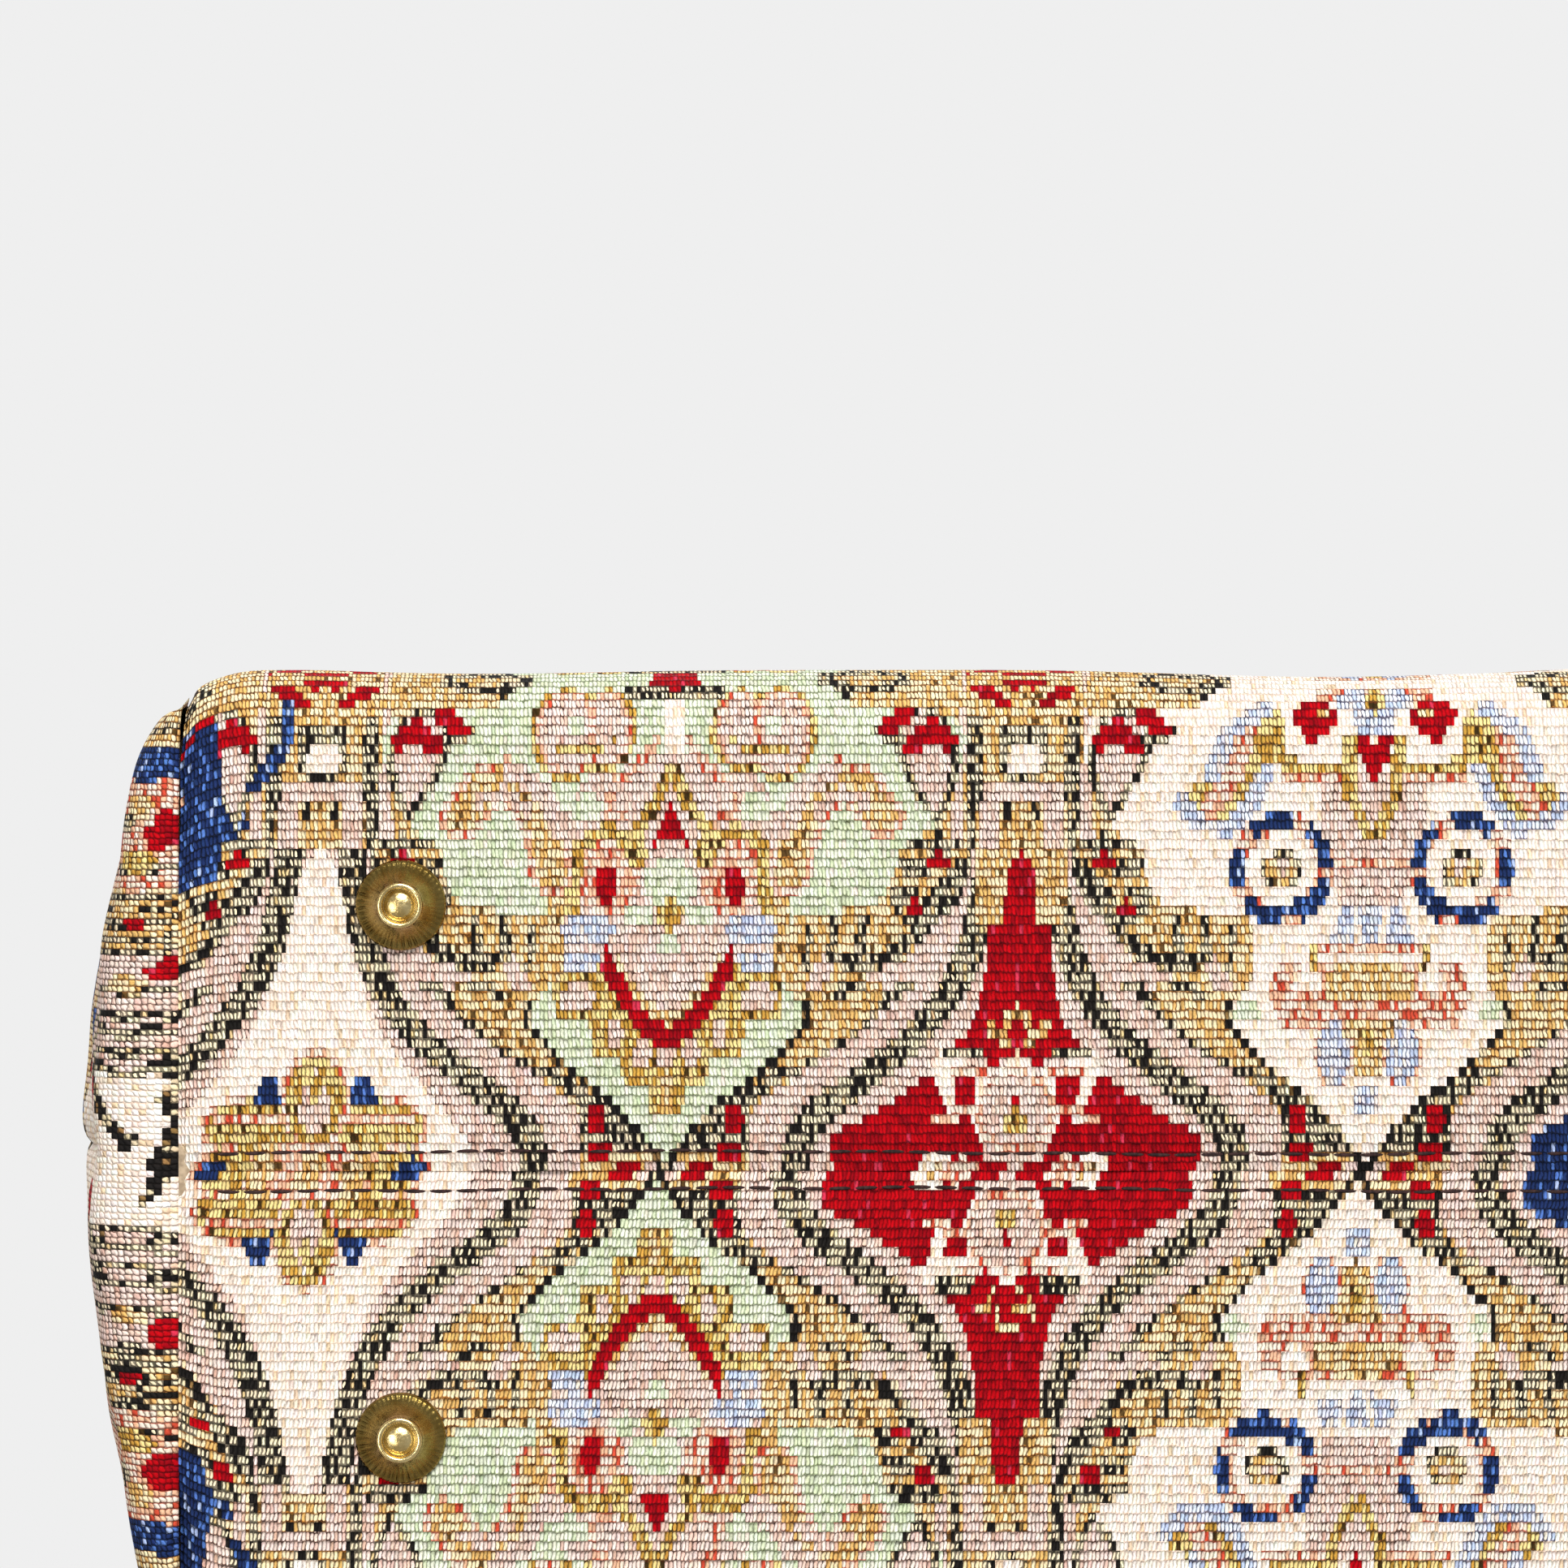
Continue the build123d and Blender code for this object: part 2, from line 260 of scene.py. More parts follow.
def panel_skin(x, t, side):
    """Points of a panel with its unevenness."""
    return moved_out(panel_points(x, t, side), -side * panel_height(x, t, side))


def gusset_rise(t):
    """Height over the underside at t along the gusset from its lower seam."""
    angle = np.clip(t / ROLL, 0, math.pi / 2)
    return ROLL * (1 - np.cos(angle)) + np.clip(t - ROLL_LENGTH, 0, None)


def gusset_points(share, t, side):
    """Points of a gusset at a share of its width and t along the carpet from its lower seam."""
    z = gusset_rise(t)
    level = z / HEIGHT
    y = share * seam_depth(level)
    turned = np.sin(np.clip(t / ROLL, 0, math.pi / 2))
    x = SEAM_HALF + (end_reach(y, level) - SEAM_HALF) * turned
    low = 1 - smooth(0, ROLL, z)
    lift = low * corner_lift(np.abs(share))
    return np.stack([side * x, y, UNDERSIDE + z + lift], axis=-1)


def gusset_height(share, t, side):
    """Unevenness of a gusset: its seams, the crease down its middle and slanting slack folds."""
    z = gusset_rise(t)
    y = share * BASE_HALF
    edge = np.exp(-(((1 - np.abs(share)) * BASE_HALF / EDGE_WIDTH) ** 2))
    edge = np.maximum(edge, np.exp(-((t / EDGE_WIDTH) ** 2)))
    crease = np.exp(-np.abs((y - CREASE) / 1.6)) * smooth(4, 26, z) * (1 - 0.8 * smooth(24, 60, z))
    inner = smooth(0, 12, z) * (1 - share**2)
    top = smooth(0, 14, HEIGHT - z)
    slack = waves(y + 0.35 * z, z * 0.4, 31 if side < 0 else 33, 8, 13, 34) * 0.5
    body = waves(y, z, 41 if side < 0 else 43, 6, 60, 150) * 0.8
    lean = -1.6 * smooth(2, 40, y) * inner
    total = -EDGE_DEPTH * edge - 1.9 * crease + lean + inner * (slack + body)
    return total * np.minimum(top + edge, 1)


# Yarns: stitch colour, second stitch colour and its share, fleck colour and its share, colour of
# the gaps between stitches and its strength (their dark ground with painted shade in the hollows),
# row thread colour and its strength, fullness of the stitch
YARNS = {
    "cream": ("FFF1E5", "FAE6D4", 0.35, "EBCFAE", 0.07, "A87E5E", 0.42, "E6BE9A", 0.35, 1.1),
    "pink": ("F5DCD0", "EDC8B7", 0.32, "D9B09C", 0.04, "3E2822", 1.0, "D89A78", 0.4, 0.82),
    "gold": ("F8E3B6", "DEB068", 0.38, "5A4222", 0.03, "4A2A10", 1.0, "D08636", 1.0, 0.76),
    "deep_gold": ("F0D68E", "C4953F", 0.36, "3A2A10", 0.05, "3A2A0E", 1.0, "B8522E", 0.5, 0.7),
    "dash": ("F4E2BE", "1D1A18", 0.28, "E8C890", 0.08, "14110F", 1.0, "1E1712", 0.9, 0.3),
    "black": ("1B1817", "E2CFA8", 0.2, "8A6A40", 0.06, "0D0B0A", 0.95, "2A211A", 0.5, 0.7),
    # the red's row thread is its weft, darkened into painted shade between the rows
    "red": ("B4000E", "92000F", 0.34, "C8304A", 0.03, "3C0005", 0.75, "56000A", 0.6, 1.05),
    "navy": ("1C2E5C", "4F74BC", 0.25, "A9BCE4", 0.07, "0B1020", 1.0, "131D3C", 0.55, 0.75),
    "light_blue": ("E2E8F6", "BCCAE6", 0.35, "F0E2D6", 0.1, "343650", 1.0, "D89A6C", 0.4, 0.74),
    "green": ("E6ECD2", "D3DEB8", 0.32, "F2E8D6", 0.04, "4A5030", 0.85, "7A8A50", 0.5, 0.92),
    "salmon": ("F5E2CE", "EBB694", 0.4, "C84A34", 0.12, "5A2A1C", 0.9, "D8502E", 0.95, 0.84),
}
YARN_NAMES = list(YARNS)
GROUND = "gold"

# Lattice of the pattern, in millimetres along the bag and along the carpet
LATTICE = 108.0
FIRST_AXIS = -164.0
MIRROR = 78.0
OUTER_RISE = (0, 1.5, 6.6, 11, 15.8, 22.5, 25.5, 28, 30, 38, 39.5, 40.5)
OUTER_RISE += (42, 46.5, 49.5, 52, 53.5, 56, 60, 67, 70, 72, 78)
OUTER_REACH = (0, 0, 4, 8.2, 14.6, 20.8, 21, 18.5, 17.8, 17.8, 20, 30)
OUTER_REACH += (33, 35, 35, 39, 40.5, 42, 44, 45, 43, 27, 23)
KINDS = 3
CREAM_AXIS, RED_AXIS, NAVY_AXIS = range(KINDS)
GREEN_FIELD, CREAM_FIELD, NAVY_FIELD = range(KINDS)


def linear(code):
    """Linear colour of a six-digit sRGB code."""
    values = np.array([int(code[i : i + 2], 16) for i in (0, 2, 4)]) / 255
    return np.where(values <= 0.04045, values / 12.92, ((values + 0.055) / 1.055) ** 2.4)


def oval(x, y, place, size):
    """True inside an oval."""
    return ((x - place[0]) / size[0]) ** 2 + ((y - place[1]) / size[1]) ** 2 < 1


def ring(x, y, place, size, width):
    """True on an oval ring of that width."""
    away = np.sqrt(((x - place[0]) / size[0]) ** 2 + ((y - place[1]) / size[1]) ** 2)
    return np.abs(away - 1) * min(size) < width / 2


def stroke(x, y, points, half):
    """True within half a width of a line through points."""
    best = np.full(np.shape(x), 1e9)
    for (x0, y0), (x1, y1) in zip(points[:-1], points[1:]):
        dx, dy = x1 - x0, y1 - y0
        share = np.clip(((x - x0) * dx + (y - y0) * dy) / (dx * dx + dy * dy), 0, 1)
        best = np.minimum(best, np.hypot(x - x0 - share * dx, y - y0 - share * dy))
    return best < half


def within(x, y, points):
    """True inside a closed outline."""
    inside = np.zeros(np.shape(x), bool)
    for (x0, y0), (x1, y1) in zip(points, points[1:] + points[:1]):
        if y0 == y1:
            continue
        crosses = (y0 > y) != (y1 > y)
        inside ^= crosses & (x < x0 + (y - y0) * (x1 - x0) / (y1 - y0))
    return inside


class Cloth:
    """Yarn of every stitch of a piece of the carpet, painted from the ground up.

    Shapes are given by their distance from an upright axis, narrow (a) or wide (b), and by their
    distance along the carpet from the middle seam.
    """

    def __init__(self, s, t):
        step = np.round((s - FIRST_AXIS) / LATTICE)
        cell = np.floor((s - FIRST_AXIS) / LATTICE)
        self.narrow = np.mod(step, KINDS).astype(int)
        self.wide = np.mod(cell, KINDS).astype(int)
        self.a = np.abs(s - FIRST_AXIS - step * LATTICE)
        self.b = np.abs(s - FIRST_AXIS - (cell + 0.5) * LATTICE)
        self.t = np.abs(np.mod(t + MIRROR, 2 * MIRROR) - MIRROR)
        self.yarn = np.full(s.shape, YARN_NAMES.index(GROUND))
        self.all = np.ones(s.shape, bool)
        self.where = self.all

    def paint(self, mask, yarn):
        self.yarn[mask & self.where] = YARN_NAMES.index(yarn)

    def oval(self, x, place, size, yarn):
        self.paint(oval(x, self.t, place, size), yarn)

    def ovals(self, x, yarn, *shapes):
        for place_x, place_t, size_x, size_t in shapes:
            self.oval(x, (place_x, place_t), (size_x, size_t), yarn)

    def line(self, x, points, half, yarn):
        self.paint(stroke(x, self.t, points, half), yarn)

    def area(self, x, points, yarn):
        self.paint(within(x, self.t, points), yarn)

    def block(self, x, reach, rise, yarn):
        across = (x >= reach[0]) & (x < reach[1])
        self.paint(across & (self.t >= rise[0]) & (self.t < rise[1]), yarn)


def paint_bands(cloth):
    """The pointed bands between the medallions, their stripes and the crossings."""
    a, b, t = cloth.a, cloth.b, cloth.t
    swollen = (t / 17.8) ** 2.45
    inner = 31.8 / (1 + swollen)
    slope = -31.8 * 2.45 * swollen / np.maximum(t, 0.1) / (1 + swollen) ** 2
    off = (a - inner) / np.sqrt(1 + slope**2)
    outer = np.interp(t, OUTER_RISE, OUTER_REACH)
    slim = np.minimum(outer + 3, np.interp(t, (46, 49, 53.5, 60, 70), (30, 37, 43.5, 38, 34)))
    outer = np.where((cloth.wide == NAVY_FIELD) & (t > 43) & (t < 72), slim, outer)
    cloth.wide_part = b < outer
    cloth.narrow_part = off < 0
    cloth.edge_part = (b >= outer) & (b < outer + 1.3) & (off > 3) & ((t < 26) | (t > 72))
    cloth.paint((off >= 0) & (off < 4.4), "dash")
    cloth.paint((off >= 4.4) & (off < 9), "pink")
    cloth.paint((off > 9) & (b > outer) & (t > 3.4) & (t < 11) & (b < 13), "dash")
    cloth.paint((off >= 9) & (off < 10.1) & (b > outer) & (t > 15) & (t < 34), "dash")
    cloth.paint((off >= 9.6) & (off < 12) & (b > outer) & (t > 6) & (t < 15.5), "dash")
    cloth.ovals(b, "red", (10.6, 8.2, 1.5, 2.2), (10, 3, 2, 1.4), (5.6, 0, 2.2, 1.7))
    cloth.oval(b, (0, 0), (3.4, 2.4), "pink")


def paint_ferns(cloth):
    """The scrolled ferns in the bands and the serrated leaves above them."""
    a = cloth.a
    cloth.where = ~cloth.wide_part
    for points, half, yarn in (
        ([(12, 37), (15.5, 32), (18.5, 29.5), (22, 31)], 1.9, "pink"),
        ([(29.5, 32), (31.5, 28.6)], 1.3, "pink"),
        ([(15, 37.5), (18.5, 34), (22, 32.4), (26, 32), (29, 33.6)], 1.2, "dash"),
        ([(16, 36), (19, 33.6), (21, 33)], 0.5, "black"),
        ([(24, 38.4), (24.6, 34.5)], 0.8, "dash"),
        ([(28.5, 38.5), (28.8, 33)], 0.8, "dash"),
        ([(32.6, 37), (32.6, 31)], 0.6, "dash"),
        ([(16.5, 29), (20, 27), (20.5, 25.2)], 0.9, "dash"),
        ([(24, 28.4), (28, 27.6)], 0.8, "dash"),
    ):
        cloth.line(a, points, half, yarn)
    leaf = [(7.5, 50.5), (12.5, 52), (16, 51.5), (19.5, 49.5), (21, 48), (18, 47), (18.5, 45.5)]
    leaf += [(22.3, 44.3), (19.5, 42.6), (20.5, 41), (18.5, 39), (16, 37.6), (13, 38.5)]
    leaf += [(10, 41), (8, 45)]
    cloth.area(a, leaf, "dash")
    cloth.line(a, [(9, 49.5), (12, 47), (15, 43), (17, 40)], 0.9, "gold")
    cloth.line(a, [(14.5, 48.6), (18.5, 48.8)], 0.7, "gold")
    cloth.line(a, [(14, 44.4), (19.5, 44.4)], 0.7, "gold")
    cloth.oval(a, (12.8, 47.6), (1.7, 1.5), "red")
    cloth.oval(a, (16.3, 40.7), (1.5, 1), "red")
    cloth.where = cloth.all


def paint_necks(cloth):
    """The necks between the points of the narrow medallions, with a leaf on each side."""
    a = cloth.a
    cloth.block(a, (3, 8.6), (49, MIRROR), "gold")
    cloth.block(a, (0, 9), (50, MIRROR), "gold")
    cloth.block(a, (3.5, 6.6), (49, 60), "pink")
    cloth.block(a, (0, 6), (56.7, 59.6), "pink")
    cloth.block(a, (6.4, 8.8), (57, 70), "dash")
    cloth.block(a, (7, 8.6), (49, 57), "dash")
    leaf = [(13.2, 53.2), (10.4, 59), (9.8, 64), (12, 70), (16, 72.5), (20, 70), (20.4, 66)]
    cloth.area(a, leaf + [(18.6, 62), (16, 57)], "dash")
    leaf = [(13.4, 55.4), (11.6, 60), (11.1, 64.5), (13, 69.5), (16, 71), (18.5, 69), (19, 66)]
    cloth.area(a, leaf + [(17.2, 61.8), (15, 57.5)], "pink")
    cloth.block(a, (9, 27), (71.6, 74.2), "gold")
    cloth.line(a, [(19, 76.8), (23, 75.2), (27, 75.6), (31, 77)], 1.1, "dash")
    cloth.line(a, [(18.6, 66), (22.6, 67.6)], 0.8, "dash")
    cloth.line(a, [(11.8, 66.4), (14.4, 68.2), (17, 65.6)], 1.5, "red")
    cloth.line(a, [(18.4, 70.4), (21.2, 68)], 1.4, "red")
    cloth.oval(a, (0, 63.4), (4, 3.7), "dash")
    cloth.oval(a, (0, 63.4), (2.8, 2.5), "cream")
    cloth.block(a, (0, 3.6), (66.3, 69), "dash")
    cloth.block(a, (1.6, 2.9), (54.7, 56.7), "black")
    cloth.area(a, [(1.6, 71.6), (6, 72.6), (9, 76.4), (5, 76)], "red")
    cloth.oval(a, (1.4, 76.4), (1.8, 1.2), "red")


def paint_rosette(cloth, mask):
    """The cream medallion with its eight-petalled rosette."""
    a, t = cloth.a, cloth.t
    cloth.where = mask
    cloth.paint(cloth.narrow_part, "pink")
    core_rise = (0, 6, 11, 16, 21, 26, 34, 46, 50)
    core = np.interp(t, core_rise, (26, 23, 18.5, 14, 10.4, 8, 5.2, 2.8, 0.6))
    cloth.paint(a < core, "cream")
    for place, size in (((9.6, 6.6), (7.2, 4.4)), ((0, 11), (4.6, 6.8)), ((13, 0), (4.6, 3))):
        cloth.oval(a, place, (size[0] + 0.8, size[1] + 0.8), "salmon")
        cloth.oval(a, place, size, "deep_gold")
    cloth.block(a, (0, 9), (0, 4), "gold")
    cloth.area(a, [(4.8, 9.6), (6.4, 15), (8, 14.6), (10, 10)], "navy")
    cloth.line(a, [(4, 7.6), (15, 8.4)], 0.6, "salmon")
    cloth.area(a, [(0, 16), (2, 12), (2.6, 8), (0, 5)], "pink")
    cloth.oval(a, (0, 12.6), (1, 2), "deep_gold")
    cloth.oval(a, (0, 2.4), (6, 2.6), "salmon")
    cloth.oval(a, (0, 1.5), (2.2, 1.8), "gold")
    cloth.oval(a, (15.4, 0.6), (2, 1.6), "navy")
    cloth.where = cloth.all


def paint_lobed(cloth, mask, yarn):
    """The lobed medallion with its stepped stem, in one strong colour."""
    a, t = cloth.a, cloth.t
    cloth.where = mask
    cloth.paint(cloth.narrow_part, "pink")
    steps = (0, 16, 19, 21.7, 25, 31.9, 32, 38, 38.1, 43, 48.6, 49)
    half = np.interp(t, steps, (9, 11, 10.1, 7.6, 6.3, 5, 4.9, 4.9, 2.5, 2.3, 1.6, 0))
    cloth.block(a, (0, 7), (38, 50), "gold")
    cloth.paint((a < half) & (t > 17), yarn)
    cloth.area(a, [(0, 18.4), (3, 15), (12, 18.4), (14, 14), (11, 7), (0, 3)], "cream")
    cloth.line(a, [(5.2, 17.8), (10.8, 17.8)], 0.8, "dash")
    cloth.line(a, [(5.2, 15), (9.8, 14.8)], 0.7, "salmon")
    cloth.area(a, [(1.4, 18.8), (5.6, 18.8), (3.4, 15.2)], yarn)
    lobe = [(4.7, 0), (4.7, 2.3), (5.3, 4.5), (6.3, 7.4), (9.6, 7.7), (11, 9.9), (11.8, 12.5)]
    lobe += [(13, 15.4), (17.6, 11.9), (20.6, 9.9), (23.6, 8), (26.4, 6.8), (28.6, 5)]
    lobe += [(28.6, 2.3), (27.6, 0)]
    cloth.area(a, lobe, yarn)
    cloth.area(a, [(6.1, 14), (9.6, 14), (9.4, 11), (8.5, 7.6), (7, 7.6), (6.2, 11)], yarn)
    cloth.line(a, [(6.6, 10), (12, 8)], 0.8, "salmon")
    cloth.oval(a, (0, 9.2), (6.2, 6.4), "salmon")
    cloth.oval(a, (0, 9.2), (5.2, 5.4), "pink")
    cloth.oval(a, (0, 10.4), (0.9, 0.9), yarn)
    cloth.oval(a, (0, 7.4), (1.7, 2.2), "deep_gold")
    beads = ((0, 24.8), (1.2, 24), (4.2, 22.2), (1.5, 22.2), (2.6, 20.8), (1.9, 19.2), (3.6, 20.8))
    for place in beads:
        cloth.oval(a, place, (0.9, 0.8), "gold")
    cloth.oval(a, (12, 1), (2.6, 2), "cream")
    cloth.oval(a, (8, 0.6), (2.4, 1.7), "salmon")
    cloth.oval(a, (11.6, 0), (1.2, 0.9), "gold")
    cloth.block(a, (0, 1.6), (0, 3.4), "pink")
    cloth.block(a, (1.2, 5), (0, 1.4), yarn)
    cloth.where = cloth.all


def paint_bowl_palmette(cloth, mask, ground):
    """The palmette with a red bowl, on the green ground or the navy one."""
    b, t = cloth.b, cloth.t
    cloth.where = mask & cloth.wide_part
    cloth.paint(cloth.all, ground)
    fan = [(0, 8.6), (2.6, 9.5), (2.8, 13), (4.4, 13.5), (6.8, 14), (6.8, 17.6)]
    fan += [(11.6, 18), (12, 23.5)]
    cloth.area(b, fan + [(17.4, 23.6), (18, 36), (0, 36)], "deep_gold")
    cloth.ovals(
        b, "pink", (0, 18, 1.6, 1.8), (3.8, 18.2, 1.6, 2), (8, 21.4, 1.2, 2.6), (14, 26.6, 2.8, 2.2)
    )
    cloth.line(b, [(0, 9.6), (0, 14.6)], 0.9, "gold")
    body = [(0, 65), (8, 62), (13, 61), (16, 56), (17.6, 50), (17.6, 32), (10, 32), (0, 22)]
    cloth.area(b, body, "pink")
    cloth.line(b, [(17.4, 31), (17.4, 42)], 1.2, "gold")
    bowl = 19.9 + 11.6 * (b / 9.6) ** 1.7
    cloth.paint((t > bowl) & (t < bowl + 5) & (b < 8), "gold")
    cloth.paint((np.abs(t - bowl - 0.9) < 1.7 + 0.1 * b) & (b < 10.2), "red")
    cloth.ovals(
        b, ground, (4.6, 39.4, 2.4, 1.6), (0, 44.4, 4.2, 3.6), (0, 34.6, 1.8, 1.6), (13, 56, 2.8, 2)
    )
    cloth.ovals(b, "light_blue", (12.6, 37.2, 4.2, 2.4), (13.5, 32.4, 2.9, 1.8))
    cloth.ovals(b, "light_blue", (18.6, 44.8, 1.7, 1.8))
    cloth.line(b, [(6.6, 54), (10, 55.2), (9.4, 58)], 0.7, "salmon")
    cloth.line(b, [(2.6, 66), (5.6, 62), (9, 60)], 0.8, "salmon")
    cloth.oval(b, (9.4, 45.6), (4.8, 6.2), "salmon")
    cloth.oval(b, (9.9, 44.2), (1.6, 3.1), "red")
    arch = [(5.4, 48), (6.6, 51), (9.6, 52.4), (12.4, 51.6), (14.6, 49), (15, 40.6)]
    cloth.line(b, arch, 1.2, "deep_gold")
    cloth.line(b, [(0, 62.5), (2.4, 56.6), (5.6, 52.5), (4.2, 48.6)], 1, "deep_gold")
    cloth.area(b, [(0, 42.8), (2.4, 39.8), (0, 36.2)], "deep_gold")
    cloth.area(b, [(0, 57), (1.2, 54), (2.7, 50.2), (0, 51)], "red")
    wing = [(18.4, 46), (19.4, 52.5), (22, 57.5), (25.5, 60.2), (29, 59), (32.5, 54.5)]
    cloth.line(b, wing, 3.4, "salmon")
    cloth.line(b, wing, 2.4, "gold")
    cloth.line(b, [(17, 52.4), (20.4, 59), (24.6, 61.6)], 1.5, "pink")
    cloth.line(b, [(22.4, 55.6), (26, 58.4), (29.6, 57)], 1, "pink")
    for grow, yarn in ((0.9, "deep_gold"), (0, "salmon"), (-0.8, "pink")):
        cloth.oval(b, (10.4, 68.4), (4 + grow, 6 + grow), yarn)
        cloth.oval(b, (16.4, 67.8), (4.8 + grow, 6.8 + grow), yarn)
    cloth.oval(b, (15.2, 68.6), (1.4, 1.9), "green")
    cloth.line(b, [(12.9, 73), (12.7, 66.6)], 0.6, "salmon")
    cloth.line(b, [(9, 66), (12.8, 65), (17.6, 65.4)], 0.6, "deep_gold")
    cloth.oval(b, (4.2, 70), (1.9, 1.9), "green")
    cloth.block(b, (0, 1.5), (65, 73), "cream")
    cloth.block(b, (0, 7.6), (73.4, 75.4), "dash")
    cloth.oval(b, (0, 77), (3.8, 1.8), "red")
    cloth.where = cloth.all


def paint_cream_palmette(cloth, mask):
    """The palmette on the cream ground."""
    b = cloth.b
    cloth.where = mask & cloth.wide_part
    cloth.paint(cloth.all, "cream")
    cloth.block(b, (0, 1.9), (8.9, 13.6), "light_blue")
    cloth.oval(b, (5.2, 18.4), (3.1, 5.4), "salmon")
    cloth.oval(b, (5.2, 18.4), (2.6, 4.9), "light_blue")
    cloth.area(b, [(0, 14), (2, 14.4), (2, 19.6), (4, 20.4), (3.6, 23.4), (0, 24)], "gold")
    cloth.oval(b, (0, 20), (1.2, 2), "deep_gold")
    cloth.oval(b, (19, 24.4), (2.2, 1.6), "green")
    cup = [(0, 23.6), (6, 22.6), (13.6, 22.4), (15.6, 27), (14.4, 31.4), (10, 32.4)]
    cloth.area(b, cup + [(8, 34.4), (0, 34.4)], "salmon")
    cloth.area(b, [(0, 26), (7, 26), (6.6, 31), (0, 33)], "gold")
    cloth.oval(b, (9.6, 29.4), (2.3, 2.2), "cream")
    cloth.block(b, (0, 8), (32.6, 34), "cream")
    cloth.line(b, [(8.6, 34.6), (8.4, 31)], 0.6, "deep_gold")
    cloth.area(b, [(0, 40.6), (4.6, 40.6), (6.6, 35.6), (0, 34.4)], "light_blue")
    cloth.line(b, [(1.6, 35), (2.4, 40)], 0.5, "cream")
    cloth.area(b, [(0, 62), (8, 60), (8, 52), (5, 41.5), (0, 41.5)], "pink")
    cloth.line(b, [(0, 47.4), (6, 47.2)], 0.7, "salmon")
    flower = (13.9, 46.5)
    cloth.oval(b, flower, (8, 8.8), "salmon")
    turn = np.arctan2(cloth.t - flower[1], b - flower[0])
    petals = ring(b, cloth.t, flower, (6.9, 7.7), 2.1)
    cloth.paint(petals & (np.sin(5 * turn + 1.2) > -0.6), "navy")
    cloth.area(b, [(8.4, 44), (10, 39.6), (16.4, 38.4), (16.4, 41.4), (11.4, 42)], "navy")
    cloth.oval(b, (13.9, 46.8), (5.4, 5.6), "cream")
    cloth.oval(b, (13.9, 46.3), (3.3, 3), "dash")
    cloth.oval(b, (14.1, 46.5), (2.6, 2.2), "gold")
    cloth.oval(b, (13.6, 46.8), (1.1, 0.9), "pink")
    cloth.line(b, [(3.8, 66.6), (3.6, 58), (0.8, 52)], 1, "deep_gold")
    cloth.line(b, [(15, 69.8), (14.6, 64.4), (12, 61.8), (6, 61.6)], 1.2, "deep_gold")
    cloth.line(b, [(5.4, 60.2), (14, 60.2)], 0.6, "salmon")
    cloth.area(b, [(0, 59.4), (2.4, 64), (2.9, 66.4), (1.8, 68), (0, 65.4)], "red")
    heart = [(5, 70), (7, 72.6), (10.6, 73.6), (13, 70.4), (11, 67.4), (9.8, 65.6), (7.4, 67.4)]
    cloth.area(b, heart, "red")
    cloth.oval(b, (8, 71), (1.1, 0.9), "gold")
    cloth.block(b, (0, 9), (72.8, 76.6), "salmon")
    cloth.line(b, [(4.6, 73), (3, 75), (1.2, 68)], 1.5, "light_blue")
    cloth.oval(b, (0, 73.2), (1.7, 2.4), "deep_gold")
    leaf = [(16.4, 71.8), (23, 68), (25.4, 61), (30.6, 57.4), (27, 52.6), (21.6, 52.4)]
    cloth.area(b, leaf + [(17.4, 57.6), (15.6, 63)], "deep_gold")
    cloth.line(b, [(20, 68), (21.4, 61), (25, 56)], 1.6, "salmon")
    cloth.line(b, [(17, 71.6), (22.6, 67.4), (24.8, 61)], 1.3, "light_blue")
    bend = [(29.4, 56.6), (26.4, 53.4), (22, 53), (18.6, 56.8), (16.4, 61.6)]
    cloth.line(b, bend, 1.3, "light_blue")
    cloth.where = cloth.all


def paint_foot_of_gusset(cloth, y, t):
    """The lower end of a gusset: bands that run up from its seam on both sides of the crease."""
    a = np.abs(y - CREASE) + 0.06 * t + 0.5 * np.sin(t / 4)
    t = t + 0.6 * np.sin(0.9 * y) + 0.4 * np.sin(2.3 * y)
    cloth.where = t < 36 + 8 * np.sin(a / 5)
    starts = (0, 13, 31, 41, 58, 63, 70)
    for start, yarn in zip(starts, ("cream", "pink", "gold", "salmon", "navy", "gold", "pink")):
        cloth.paint(a >= start, yarn)
    for start in (13, 15.9, 18.8, 21.6, 25.4, 31.4, 33.3, 36.1, 39.9, 44.2, 66):
        cloth.paint(np.abs(a - start) < 0.55, "dash")
    for start in (14.2, 20.2, 35, 38):
        cloth.paint((np.abs(a - start) < 0.5) & (np.sin(t / 2.7 + start) > -0.2), "black")
    cloth.paint((y < 0.5) & (a < 15) & (t < 2.3 + np.sin(a * 0.9)), "black")
    cloth.paint((y < CREASE) & stroke(a, t, [(13, 24), (10, 17), (2, 8)], 1.4), "black")
    cloth.paint((y > CREASE) & stroke(a, t, [(2.5, 2.7), (8.6, 4.6)], 1.2), "black")
    for place, size, yarn in (
        ((28.5, 1.5), (2.2, 3.4), "red"),
        ((26.5, 9), (1.6, 4), "gold"),
        ((50, 2.6), (3, 4), "red"),
        ((54, 9), (2, 4), "gold"),
        ((45.6, 9), (2, 5), "deep_gold"),
        ((51, 14), (1.6, 4), "dash"),
        ((36, 8), (1.1, 2.4), "red"),
        ((9.4, 24), (3, 4.5), "red"),
    ):
        cloth.paint(oval(a, t, place, size), yarn)
    cloth.where = cloth.all


